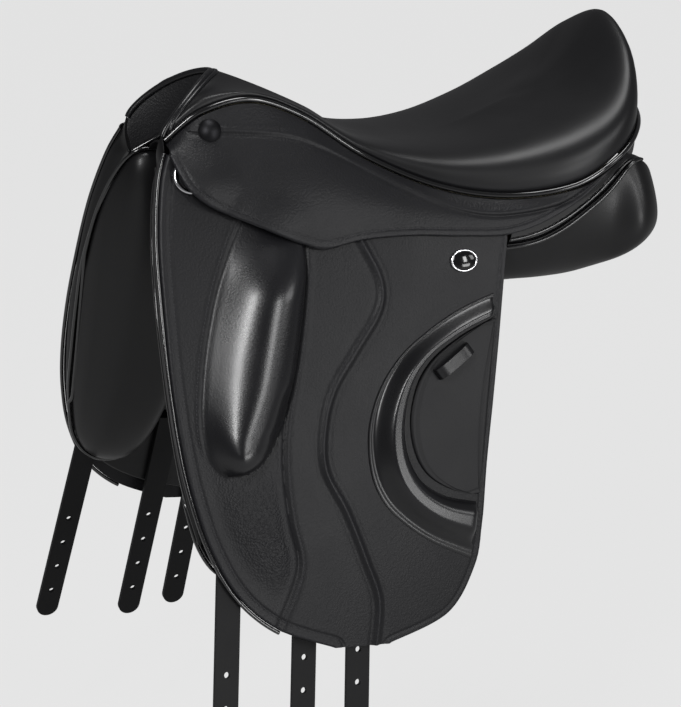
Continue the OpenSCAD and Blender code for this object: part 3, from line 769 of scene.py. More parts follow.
BLACK: Colour = (0.0078, 0.0078, 0.0092)
FINISHES = {finish.name: finish for finish in (
    Leather("seat_leather", (0.0072, 0.0072, 0.008), 0.37, 0.6, 0.04, 0.15,
            coat=0.1, coat_rough=0.3, specular=0.36),
    Leather("skirt_leather", BLACK, 0.42, 1.9, 0.3, 0.8, specular=0.32),
    Leather("flap_leather", BLACK, 0.42, 1.9, 0.27, 0.7, specular=0.3),
    Leather("block_leather", (0.006, 0.006, 0.007), 0.28, 0.9, 0.04, 0.15,
            coat=0.3, coat_rough=0.2, specular=0.36),
    Leather("insert_leather", (0.0085, 0.0085, 0.0095), 0.5, 1.2, 0.1, 0.35, specular=0.3),
    Leather("patent_leather", (0.004, 0.004, 0.0045), 0.12, 0.6, 0.01, 0.05, coat=1.0, coat_rough=0.05),
    Leather("panel_leather", (0.0065, 0.0065, 0.007), 0.36, 1.1, 0.06, 0.25,
            coat=0.15, coat_rough=0.25, specular=0.32),
    Leather("strap_leather", (0.0075, 0.0075, 0.008), 0.5, 0.9, 0.06, 0.3, specular=0.22),
    Leather("thread", (0.03, 0.03, 0.033), 0.6, 0.5, 0.05, 0.4, specular=0.3),
    Metal("chrome", (0.75, 0.75, 0.77), 0.12),
    Metal("gunmetal", (0.025, 0.025, 0.027), 0.42, 0.2),
    Metal("steel", (0.55, 0.56, 0.58), 0.3, 0.2),
    Leather("enamel", (0.004, 0.004, 0.0045), 0.1, 0.4, 0.005, 0.03,
            coat=0.6, coat_rough=0.04, specular=0.3),
    Beech("wood", (0.42, 0.27, 0.14)),
    Cloth("webbing", (0.5, 0.45, 0.36), 1.2, True),
    Cloth("foam", (0.55, 0.5, 0.33), 1.5, False),
)}


class Stores:
    """Keeps the built materials and dresses pieces with them."""

    made: dict[str, bpy.types.Material] = {}

    @classmethod
    def material(cls, name: str) -> bpy.types.Material:
        """The material of that finish, built at its first use.

        Args:
            name: name of the finish.

        Returns:
            The material.
        """
        if name not in cls.made:
            cls.made[name] = FINISHES[name].build()
        return cls.made[name]

    @classmethod
    def dress(cls, obj: bpy.types.Object, finish: str, body: str, stands_for: Sequence[str] = (),
              bend: Optional[tuple[str, Sequence[float], Sequence[float]]] = None) -> bpy.types.Object:
        """Gives a new piece its finish and the nodes that it stands for, and hangs it on its body unless a
        bend is given.

        Args:
            obj: the piece.
            finish: name of its finish.
            body: body that carries it.
            stands_for: nodes that it replaces.
            bend: a body name and two hinge points in metres; when given, the piece keeps its world place and
                joins no body, and these values are not used.

        Returns:
            The piece.
        """
        obj.data.materials.clear()
        obj.data.materials.append(cls.material(finish))
        if bend:
            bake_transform(obj)
        else:
            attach(obj, body)
        if stands_for:
            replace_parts(obj, *stands_for)
        LOG.info("%s: %d points, %s", obj.name, len(obj.data.vertices), finish)
        return obj


@dataclass
class Seat:
    """Seat, its foam, its welt and the facings under it, with sizes in millimetres."""

    front: float = -236
    length: float = 459
    width: float = 256
    pommel: float = 124
    cantle: float = 147
    cutback: float = 64
    cover: float = 2.5
    foam: float = 20
    welt: float = 5
    gap: float = 0.3
    webbing: float = 1.2
    tree: float = 8
    steel: float = 1.9
    facing_lap: float = 4
    facing_from: float = 0.747
    rows: int = 150
    half: int = 40

    def __post_init__(self) -> None:
        """Works out the lines that carry the ribs.

        A row of welt_line holds a share of the length, a share of the half width and a height, and a row
        of centre_line a share of the length and a height. The other lists hold one value for each row:
        the heights of two control points of a rib, the reach of the outer one, and the share of the foam's
        thickness.
        """
        p, c = self.pommel, self.cantle
        self.welt_line = [
            [0, 0.328, p - 45], [0.068, 0.367, p - 22], [0.166, 0.398, p - 14], [0.268, 0.438, p - 32],
            [0.383, 0.531, 55], [0.514, 0.734, 27], [0.645, 0.891, 16], [0.776, 1, 22], [0.874, 0.984, 43],
            [0.941, 0.813, 62], [0.985, 0.469, c - 73], [1, 0, c - 69]]
        self.centre_line = [
            [self.cutback / self.length, p], [0.187, p - 9], [0.253, 101], [0.329, 83], [0.416, 59],
            [0.525, 51], [0.623, 52], [0.699, 61], [0.754, 71], [0.78, 78], [0.797, 83], [0.806, 86]]
        self.mid = [[v] for v in (p - 24, p - 8, 107, 92, 64, 53, 54, 66, 78, 86, 96, 104)]
        self.rim = [[v] for v in (p - 38, p - 12, p - 6, 99, 66, 52, 54, 68, 92, 130, c + 43, c + 81)]
        self.over = [[v] for v in (1, 1.02, 1.04, 1.05, 1.05, 1.05, 1.05, 1.05, 1.05, 1.05, 1.06, 1.08)]
        self.share = [[v] for v in (0.35, 0.4, 0.45, 0.6, 0.8, 1, 1.1, 1.1, 1, 0.8, 0.6, 0.5)]

    def edge(self, u: Array) -> Array:
        """Welt line of the off side in millimetres.

        Args:
            u: places of the ribs, from 0 at the pommel to 1 at the cantle.

        Returns:
            Places, one row each.
        """
        p = Line.at(self.welt_line, u, True)
        x, y = self.front + self.length * p[..., 0], self.width / 2 * p[..., 1]
        return np.stack([x, y, p[..., 2]], axis=-1)

    def surface(self, u: Array, v: Array, d: Array) -> Array:
        """Seat points in metres.

        Args:
            u: places of the ribs, from the pommel to the cantle.
            v: places across, from -1 at the near welt to 1 at the off welt.
            d: depth below the surface in millimetres, one for each rib.

        Returns:
            Places in rows and columns.
        """
        c, w = Line.at(self.centre_line, u, True), self.edge(u)
        cx, cz = (self.front + self.length * c[:, 0])[:, None], c[:, 1][:, None]
        reach = np.hypot(w[:, 0][:, None] - cx, w[:, 1][:, None])
        over, mid, rim = (Line.at(k, u, True) for k in (self.over, self.mid, self.rim))
        s, q = np.abs(v)[None, :], 1 - np.abs(v)[None, :]
        d = d[:, None]

        def quartic(a: Any, b: Any, e: Any, f: Any, g: Any) -> Array:
            """Curve over five control values."""
            return a * q**4 + 4 * b * s * q**3 + 6 * e * s**2 * q**2 + 4 * f * s**3 * q + g * s**4

        p = quartic(0, 0.3, 0.75, over, 1) * (1 - d / reach)
        soft = 0.7 * np.maximum(0, 1 - 5 * u)[:, None]
        z = quartic(cz, cz, mid, rim, w[:, 2][:, None]) - d
        y = np.sign(v)[None, :] * w[:, 1][:, None] * (p * (1 - soft) + p * (2 - p) * soft)
        return np.stack([cx + (w[:, 0][:, None] - cx) * p, y, z], axis=-1) * MM

    def layer(self, name: str, top: float, thick: Callable[[Array], Array]) -> bpy.types.Object:
        """A layer of the seat.

        Args:
            name: name of the piece.
            top: depth of its upper face in millimetres.
            thick: thickness for each rib.

        Returns:
            The closed piece.
        """
        u = 1 - (1 - np.linspace(0, 1, self.rows)) ** 1.3
        v = np.linspace(-1, 1, 2 * self.half + 1)
        upper = self.settle(self.surface(u, v, np.full_like(u, top)))
        wear = np.repeat(Line.ease((np.abs(v) - 0.94) / 0.06)[None], len(u), axis=0)
        return Bench.shell(name, upper, self.settle(self.surface(u, v, top + thick(u))), wear, fold=True)

    @staticmethod
    def settle(places: Array, reach: float = 0.05) -> Array:
        """Smooths the bowl round the point where the last ribs meet.

        Args:
            places: rows and columns of a face of the seat, in metres.
            reach: distance from that point over which the smoothing fades.

        Returns:
            The places with a smooth bowl.
        """
        pole = places[-1, places.shape[1] // 2]
        x, y = places[..., 0] - pole[0], places[..., 1]
        away = np.hypot(x, y) / reach
        terms = np.stack([x**0, x, x**2, y**2, x**3, x * y**2], axis=-1)
        ring = (away > 0.5) & (away < 1.3)
        fit, *_ = np.linalg.lstsq(terms[ring], places[..., 2][ring], rcond=None)
        share = Line.ease(away)
        new = places.copy()
        new[..., 2] = (terms @ fit) * (1 - share) + places[..., 2] * share
        return new

    def outline(self, outward: float, down: float, count: int = 160) -> Array:
        """Path along the welt line from the off to the near pommel corner, round the cantle.

        Args:
            outward: distance outward from the line in millimetres.
            down: distance below it.
            count: points on each side.

        Returns:
            The path in metres.
        """
        u = np.linspace(0, 1, count)
        w = self.edge(u)
        t = np.gradient(w, axis=0)
        n = np.stack([-t[:, 1], t[:, 0], np.zeros(count)], axis=1)
        n /= np.maximum(np.linalg.norm(n, axis=1, keepdims=True), 1e-9)
        n[-1] = (1, 0, 0)
        p = w + n * outward
        p[:, 2] -= down
        other = p[::-1][1:] * Side.NEAR.flip
        return np.vstack([p, other]) * MM

    def build(self) -> None:
        """Builds and dresses the seat's pieces."""
        cover = self.layer("seat_leather", 0, lambda u: np.full_like(u, self.cover))
        Stores.dress(cover, "seat_leather", "saddle", ["seat_cover"])
        foam = self.layer("seat_padding", self.cover + self.gap,
                          lambda u: self.foam * Line.at(self.share, u, True)[:, 0])
        Stores.dress(foam, "foam", "saddle", ["seat_foam"])
        path = self.outline(0.32 * self.welt, 0.68 * self.welt)
        welt = Bench.rope("seat_piping", path, self.welt / 2 * MM)
        Stores.dress(welt, "patent_leather", "saddle", ["seat_welt"])
        self.pommel_front()
        for side in Side:
            self.pommel_side(side)
        self.cantle_back()

    def pommel_front(self) -> None:
        """Closes the front of the pommel and rolls leather over its edge."""
        v = np.linspace(-1, 1, 121)
        layers = self.cover + self.foam * self.share[0][0] + self.webbing + self.tree + self.steel
        depth = layers + 4 * self.gap + self.facing_lap
        down = np.linspace(0, 1, 13)
        edge = self.surface(np.zeros(1), v, np.zeros(1))[0]
        draw_in, deeper, corner = 0.14, 20, 16
        drop = np.stack([0 * v, -draw_in * edge[:, 1], -(depth + deeper - corner * v**2) * MM], axis=-1)
        rows = edge[None] + down[:, None, None] * drop[None]
        ahead = rows.copy()
        thick, bulge = 1.8, 2.5
        ahead[..., 0] -= (thick + bulge * np.sin(math.pi * down)[:, None]) * MM
        facing = Bench.shell("pommel_leather", ahead, rows - np.array([self.gap, 0, 0]) * MM)
        Stores.dress(facing, "flap_leather", "saddle", ["pommel_facing"])
        Stores.dress(Bench.rope("pommel_hem", ahead[-1], 2.2 * MM), "patent_leather", "saddle")
        for k, (ahead_mm, u, lift, r) in enumerate(((1.8, 0.0, -0.6, 3.0), (0.0, 0.022, 0.2, 2.1))):
            path = self.surface(np.array([u]), np.linspace(-0.97, 0.97, 140), np.array([0.0]))[0]
            path = Line.relax(path + np.array([-ahead_mm, 0, lift]) * MM, 14)
            Stores.dress(Bench.rope(f"pommel_roll_{k + 1}", path, r * MM), "block_leather", "saddle")

    def pommel_side(self, side: Side) -> None:
        """Rolls leather from the pommel's front down between the flap's edge and the panel's piping.

        Args:
            side: side of the horse.
        """
        outside = [[-238, 43, 80], [-240, 52, 64], [-249, 60, 46], [-257, 74, 15], [-262, 88, -16],
                   [-265.5, 106, -60], [-268, 126, -110], [-267.5, 143, -160], [-264, 156, -205],
                   [-256, 165, -250]]
        inside = [[-239, 35, 50], [-240, 37, 47], [-242, 42, 41], [-252, 59, 10], [-259, 74, -18],
                  [-264.5, 96, -64], [-266, 113, -110], [-266, 131, -160], [-264, 149, -205],
                  [-256, 163, -250]]
        t, s = np.linspace(0, 1, 121), np.linspace(0, 1, 17)[None, :, None]
        a, b = Line.at(outside, t)[:, None], Line.at(inside, t)[:, None]
        p = a * (1 - s) + b * s
        ahead = (3.0 * np.sin(math.pi * s[..., 0]) ** 0.7 + 0.8) * (1 - 0.5 * t[:, None])
        front = (p - np.stack([ahead, 0 * ahead, 0 * ahead], axis=-1)) * side.flip * MM
        strip = Bench.shell(f"pommel_strip_{side.tag}", front, p * side.flip * MM)
        Stores.dress(strip, "panel_leather", "saddle")
        hem = Line.even(inside, 80) * side.flip - np.array([1.5, 0, 0])
        Stores.dress(Bench.rope(f"pommel_hem_{side.tag}", hem * MM, 1.7 * MM), "patent_leather", "saddle")

    def cantle_back(self) -> None:
        """Closes the back of the cantle under the welt."""
        n = 90
        k = np.linspace(-1, 1, 2 * n + 1)
        a = 1 - np.abs(k)
        u = self.facing_from + (1 - self.facing_from) * a
        w = self.edge(u)
        t = self.edge(np.minimum(u + 0.004, 1)) - self.edge(np.maximum(u - 0.004, 0))
        out = np.stack([-t[:, 1], t[:, 0], 0 * a], axis=1)
        out /= np.maximum(np.linalg.norm(out, axis=1, keepdims=True), 1e-9)
        out[n] = (1, 0, 0)
        q = np.linspace(0, 1, 25)[:, None]
        top = w[:, 2] - 1.16 * self.welt
        at_ends, deeper, fade = 12, 34, 0.45
        low = top - at_ends - deeper * Line.ease(a / fade)
        z = top[None] * (1 - q) + low[None] * q
        flip = np.where(k < 0, 1, -1)

        def post(inset: Array) -> Array:
            """Rows of the facing at a distance inside the welt line.

            Args:
                inset: distance inside the welt line in millimetres, by row.

            Returns:
                Places in metres.
            """
            x = w[None, :, 0] - out[None, :, 0] * inset
            y = (w[None, :, 1] - out[None, :, 1] * inset) * flip[None]
            return np.stack([x, y, z], axis=-1) * MM

        swell = 1.0 - 1.2 * np.sin(math.pi * q) + 7 * q**2
        facing = Bench.shell("cantle_leather", post(swell), post(swell + 1.5))
        Stores.dress(facing, "flap_leather", "saddle", ["cantle_facing"])


@dataclass
class Skirt:
    """Skirt of one side: the leather between the welt and its own lower edge, in millimetres.

    Lines hold x and z. A swelling has the x and z of its middle, its half length, half height and rise.
    """

    side: Side
    seat: Seat
    low: Rail = field(default_factory=lambda: [
        [-239, 66], [-231, 42], [-212, 24], [-178, 8], [-140, -10], [-115, -17.5], [-80, -13], [-35, -13],
        [10, -17], [55, -19], [95, -9], [133, 10], [165, 36]])
    crease: Rail = field(default_factory=lambda: [
        [-215, 84], [-180, 82], [-133, 76], [-98, 62], [-36, 27], [8, 7], [52, -1], [110, 6], [150, 30]])
    swells: Rail = ((-145, 26, 110, 60, 8), (-222, 46, 44, 40, 9.2), (-165, 0, 55, 38, 5))
    share: float = 0.735
    thick: float = 3.2
    seam: float = 6.2
    bend_half: float = 7
    rows: int = 70
    cols: int = 260

    def grid(self, out: float, relief: bool) -> tuple[Array, Array, Array, Array]:
        """Places of the skirt's inner or outer face.

        Args:
            out: distance outward from the inner face in millimetres.
            relief: the face has its crease and rounded edges.

        Returns:
            x, outward distance, z and distance from the lower edge, in rows and columns.
        """
        t = np.linspace(0, 1, self.cols + 1)
        a = Line.at(self.low, t)
        w = self.seat.edge(self.share * t)
        b = np.stack([w[:, 0], w[:, 2] - 1.25 * self.seat.welt - 0.5], axis=1)
        q = np.linspace(0, 1, self.rows + 1)[:, None]
        x = a[None, :, 0] * (1 - q) + b[None, :, 0] * q
        z = a[None, :, 1] * (1 - q) + b[None, :, 1] * q
        draw = Sides.y(b[:, 0], b[:, 1]) + Layer.SKIRT.value - w[:, 1] - 0.5

        def hump(p: Array, r: Array) -> Array:
            """Round swelling, 1 in its middle and 0 from a distance of 1 on."""
            return np.maximum(0, 1 - np.minimum(1, p * p + r * r)) ** 2

        y = Layer.SKIRT.value - draw[None] * q**4 + out
        for mid_x, mid_z, half_x, half_z, rise in self.swells:
            y = y + rise * hump((x - mid_x) / half_x, (z - mid_z) / half_z)
        edge = np.abs(Line.gap(x, z, self.low)[0])
        if relief:
            d, _ = Line.gap(x, z, self.crease)
            y = y + 1.3 * Line.bump(d + 1.5, 3.0) - 1.2 * Line.bump(d - 2.2, 1.6)
            y = y - self.thick * 0.55 * (1 - Line.dome(edge / 2.2)) - 0.5 * Line.bump(edge - self.seam, 1.1)
        return x, y, z, edge

    def build(self) -> None:
        """Builds and dresses the skirt and its stitching."""
        x, y, z, edge = self.grid(self.thick, True)
        outer = Sides.place(x, z, y, self.side)
        xi, yi, zi, _ = self.grid(0, False)
        inner = Sides.place(xi, zi, yi, self.side)
        skirt = Bench.shell(f"skirt_leather_{self.side.tag}", outer, inner, np.exp(-edge / 2.5))
        hinge = np.array([-97.5, 105, 24.8]) * self.side.flip * MM
        step = np.array([0.278, 0, 0.96]) * MM
        tag, reach = self.side.tag, self.bend_half * step
        bend = (f"skirt_{tag}", tuple(hinge + reach), tuple(hinge - reach))
        Stores.dress(skirt, "skirt_leather", "saddle", [f"skirt_band_{tag}", f"skirt_{tag}"], bend)
        self.sew(x, y, z, edge, bend)

    def sew(self, x: Array, y: Array, z: Array, edge: Array, bend: tuple) -> None:
        """Adds the row of stitches inside the lower edge.

        Args:
            x: lengthwise places of the outer face.
            y: its outward distances.
            z: its heights.
            edge: its distance from the lower edge.
            bend: the skirt's hinge, handed on to the stitches.
        """
        path = []
        for k in range(4, self.cols - 4):
            i = int(np.argmax(edge[:, k] > self.seam))
            if i < 1 or edge[:, k].max() < self.seam + 0.3:
                continue
            f = (self.seam - edge[i - 1, k]) / (edge[i, k] - edge[i - 1, k])
            path.append([v[i - 1, k] * (1 - f) + v[i, k] * f for v in (x, y, z)])
        p = np.array(path)
        line = Sides.place(p[:, 0], p[:, 2], p[:, 1] + 0.2, self.side)
        up = Sides.normal(p[:, 0], p[:, 2]) * self.side.flip
        Stores.dress(Bench.thread(f"skirt_thread_{self.side.tag}", line, up), "thread", "saddle", (), bend)


@dataclass
class Flap:
    """Flap of one side with its knee block, seams, thigh block, insert and piping.

    Lines hold x and z, in millimetres.
    """

    side: Side
    front: Rail = field(default_factory=lambda: [
        [-239, 66], [-248, 46], [-256, 15], [-261, -16], [-265, -60], [-268, -110], [-268, -160],
        [-264, -205], [-254, -250], [-234, -292], [-200, -325], [-150, -349]])
    rear: Rail = field(default_factory=lambda: [
        [58, -11], [56, -16], [55, -20], [54, -26], [46.5, -60], [36.5, -108], [25.5, -160], [14.5, -212],
        [5.5, -264], [-5.5, -303], [-35.5, -340], [-94.5, -355.5]])
    seam: Rail = field(default_factory=lambda: [
        [-131, 20], [-133, -22], [-141, -58], [-155, -106], [-172, -154], [-179, -194], [-179, -236],
        [-175, -270], [-184, -294], [-203, -324]])
    ridge: Rail = field(default_factory=lambda: [
        [-92, 8], [-80, -18], [-69, -48], [-74, -73], [-100, -104], [-125, -134], [-138, -166], [-141, -199],
        [-126, -235], [-112, -280], [-103, -316], [-110, -356]])
    knee_front: Rail = field(default_factory=lambda: [
        [-178, 22], [-190, 6], [-203, -15], [-221, -51], [-238, -98], [-248, -145], [-247, -172],
        [-240, -190]])
    knee_low: Rail = field(default_factory=lambda: [
        [-256, -150], [-247, -176], [-232, -191], [-210, -190], [-190, -176], [-165, -140]])
    outer_arc: Rail = field(default_factory=lambda: [
        [34, -68], [2, -78], [-28, -92], [-59, -112], [-83, -139], [-97, -171], [-99, -205], [-91, -231],
        [-75, -251], [-48, -273], [-10, -294]])
    inner_arc: Rail = field(default_factory=lambda: [
        [30, -84], [-5, -96], [-35, -112], [-54, -134], [-65, -167], [-64, -196], [-52, -220], [-30, -236],
        [-1, -245]])
    knee_rise: float = 23
    thigh_rise: float = 13
    cord_end: float = -326
    fold_x: float = -100
    fold_y: float = 110
    fold_top: float = -12
    fold_low: float = -30
    rows: int = 205
    cols: int = 225

    def relief(self, x: Array, z: Array) -> Array:
        """Height of the outer face over the flat flap, in millimetres.

        Args:
            x: lengthwise places.
            z: heights.

        Returns:
            Height at each place.
        """
        seam, _ = Line.gap(x, z, self.seam)
        ridge, _ = Line.gap(x, z, self.ridge)
        front, _ = Line.gap(x, z, self.front)
        rear, _ = Line.gap(x, z, self.rear)
        h = -1.3 * Line.bump(seam, 1.5) + 0.9 * Line.bump(seam + 3.5, 3.0) + 0.5 * Line.bump(seam - 4, 3.0)
        h += 2.0 * Line.bump(ridge, 2.6) - 0.4 * Line.bump(np.abs(ridge) - 6, 2.0)
        a, low = np.abs(front), np.abs(rear)
        h += -2.4 * (1 - Line.dome(a / 2.4)) - 2.4 * (1 - Line.dome(low / 2.2))
        h += -0.7 * Line.bump(a - 9, 1.2) - 0.5 * Line.bump(low - 6, 1.1)
        sewn, along = Line.gap(x, z, self.knee_front)
        groove = 1.0 * Line.bump(sewn - 1.5, 2.0) - 0.5 * Line.bump(sewn + 2.5, 1.6)
        h += groove * Line.ease((0.95 - along) / 0.1)
        high, below = self.knee(x, z)
        flat = np.stack([x.ravel() / 9, z.ravel() / 6], axis=1)
        fold = np.array([noise.noise((a, b, 0.5)) for a, b in flat]).reshape(x.shape)
        return h + high + below * (3.2 + 0.35 * fold)

    def knee(self, x: Array, z: Array) -> tuple[Array, Array]:
        """Shape of the knee block, which ramps up from its front seam to a crest and drops to the rear seam.

        Args:
            x: lengthwise places.
            z: heights.

        Returns:
            Height of the block in millimetres, and the share of slack leather below it.
        """
        ahead, along = Line.gap(x, z, self.knee_front)
        behind, _ = Line.gap(x, z, self.seam)
        under, _ = Line.gap(x, z, self.knee_low)
        edge, _ = Line.gap(x, z, self.front)
        a, b = np.maximum(-ahead, 0), np.maximum(behind - 1, 0)
        c = np.maximum(-under, 0)
        share = a / np.maximum(a + b, 1e-6)
        crest = 0.56 - 0.2 * Line.ease((along - 0.6) / 0.4)
        climb = np.clip(share / crest, 0, 1)
        ramp = 0.25 * Line.ease(climb) + 0.75 * np.sin(0.5 * math.pi * climb)
        fall = np.sqrt(np.maximum(0, 1 - np.clip((share - crest) / (1 - crest), 0, 1) ** 2))
        swell = np.where(share < crest, ramp, fall) * (a > 0) * (b > 0) * Line.dome(c / 24)
        below = Line.bump(z + 245, 52) * Line.ease((behind - 2) / 16) * Line.ease((np.abs(edge) - 16) / 24)
        return self.knee_rise * swell * Line.ease((22 - z) / 75), below * (1 - np.clip(swell * 4, 0, 1))

    def bend(self) -> tuple[str, tuple, tuple]:
        """The fold line under the skirt: the flap's body name and the two ends of the line, in metres."""
        x, y = self.fold_x * MM, self.fold_y * self.side.value * MM
        return (f"flap_{self.side.tag}", (x, y, self.fold_top * MM), (x, y, self.fold_low * MM))

    def build(self) -> None:
        """Builds and dresses the flap's pieces."""
        tag = self.side.tag
        x, z = Sides.patch(self.front, self.rear, self.rows, self.cols)
        h = self.relief(x, z)
        ahead, behind = (np.abs(Line.gap(x, z, rail)[0]) for rail in (self.front, self.rear))
        edge = np.minimum(ahead, behind)
        # Lighter colour: wear along the edges, plus a painted highlight along the raised ridge seam.
        wear = np.exp(-edge / 2.5) + 0.5 * Line.bump(Line.gap(x, z, self.ridge)[0], 2.0)
        outer = Sides.place(x, z, Layer.FLAP_OUT.value + h, self.side)
        high, below = self.knee(x, z)
        inner = Sides.place(x, z, Layer.FLAP_IN.value, self.side)
        flap = Bench.shell(f"flap_leather_{tag}", outer, inner, wear,
                           gloss=np.clip(high / 6, 0, 1), grain=np.clip(below, 0, 1))
        nodes = [f"flap_head_{tag}", f"flap_{tag}", f"knee_block_{tag}"]
        Stores.dress(flap, "flap_leather", "saddle", nodes, self.bend())
        self.thigh(tag)
        self.insert(tag)
        self.trim(tag)

    def band(self, name: str, a: Rail, b: Rail, rows: int, cols: int,
             profile: Callable[[Array, Array], Array]) -> bpy.types.Object:
        """A piece that lies on the flap between two arcs.

        Args:
            name: name of the piece.
            a: first arc, from the top.
            b: second arc.
            rows: steps along it.
            cols: steps across it.
            profile: height by place across and along.

        Returns:
            The closed piece.
        """
        t = np.linspace(0, 1, rows + 1)
        p, q = Line.even(a, rows + 1), Line.even(b, rows + 1)
        s = np.linspace(0, 1, cols + 1)
        g = p[:, None] * (1 - s[None, :, None]) + q[:, None] * s[None, :, None]
        h = profile(s[None, :], t[:, None])
        outer = Sides.place(g[..., 0], g[..., 1], Layer.BLOCK.value + h, self.side)
        inner = Sides.place(g[..., 0], g[..., 1], Layer.BLOCK.value, self.side)
        # Lighter colour over the top fifth of the relief: a painted highlight along the thigh block's crest,
        # and a lighter tone over the insert's flat face.
        wear = np.clip((h - 0.8 * h.max()) / max(0.2 * h.max(), 1e-6), 0, 1) * 0.5
        return Bench.shell(name, outer, inner, wear)

    def thigh(self, tag: str) -> None:
        """Builds the rear thigh block.

        Args:
            tag: ending of the side's names.
        """

        def profile(s: Array, t: Array) -> Array:
            """Flat sewn rim, then a rise to a rounded crest that drops to the insert.

            Args:
                s: place across the block.
                t: place along it.

            Returns:
                Height in millimetres.
            """
            rise = Line.ease((s - 0.12) / 0.5) * Line.dome((1 - s) / 0.22)
            ends = Line.dome(t / 0.03) * Line.dome((1 - t) / 0.03)
            return 0.8 + 0.4 * Line.bump(s - 0.05, 0.04) + self.thigh_rise * rise * ends

        block = self.band(f"thigh_leather_{tag}", self.outer_arc, self.inner_arc, 150, 44, profile)
        Stores.dress(block, "block_leather", f"flap_{tag}", [f"thigh_block_{tag}"])

    def insert(self, tag: str) -> None:
        """Builds the matte insert.

        Args:
            tag: ending of the side's names.
        """
        inner = [[25, -91], [-3, -102], [-30, -118], [-47, -138], [-57, -167], [-56, -194], [-46, -215],
                 [-26, -230], [-2, -238]]
        rear = [[33, -88], [26, -125], [18, -165], [10, -205], [2, -239]]

        def profile(s: Array, t: Array) -> Array:
            """Flat panel with rounded borders."""
            border = np.minimum(np.minimum(s, 1 - s) * 60, np.minimum(t, 1 - t) * 150)
            return 0.5 + 1.4 * Line.dome(border / 2.5) - 0.35 * Line.bump(border - 5, 1.0)

        piece = self.band(f"insert_leather_{tag}", inner, rear, 120, 60, profile)
        Stores.dress(piece, "insert_leather", f"flap_{tag}", [f"flap_insert_{tag}"])

    @staticmethod
    def beside(line: Array, distance: float) -> Array:
        """A line that runs beside another one.

        Args:
            line: points on the side.
            distance: distance to the right of its direction with z up, in millimetres.

        Returns:
            The points of the new line.
        """
        e = np.gradient(line, axis=0)
        e /= np.linalg.norm(e, axis=1, keepdims=True)
        return line + np.stack([e[:, 1], -e[:, 0]], axis=1) * distance

    def trim(self, tag: str) -> None:
        """Builds the patent piping and the stitches.

        Args:
            tag: ending of the side's names.
        """
        p = Line.even(self.front, 200)
        c = self.beside(p[p[:, 1] > self.cord_end], 2.0)
        path = Sides.place(c[:, 0], c[:, 1], np.full(len(c), 2.0), self.side)
        cord = Bench.rope(f"flap_cord_{tag}", path, 1.8 * MM)
        Stores.dress(cord, "patent_leather", "saddle", [f"flap_piping_{tag}"], self.bend())
        rows = {"front": (self.front, -9.0), "rear": (self.rear, 6.0), "seam": (self.seam, -4.5),
                "knee": (self.knee_front, 3.5)}
        for name, (rail, inset) in rows.items():
            c = self.beside(Line.even(rail, 220)[6:-6], inset)
            c = c[c[:, 1] < -2]
            h = self.relief(c[:, 0], c[:, 1]) + Layer.FLAP_OUT.value
            line = Sides.place(c[:, 0], c[:, 1], h + 0.15, self.side)
            up = Sides.normal(c[:, 0], c[:, 1]) * self.side.flip
            sewn = Bench.thread(f"flap_thread_{name}_{tag}", line, up)
            Stores.dress(sewn, "thread", "saddle", (), self.bend())


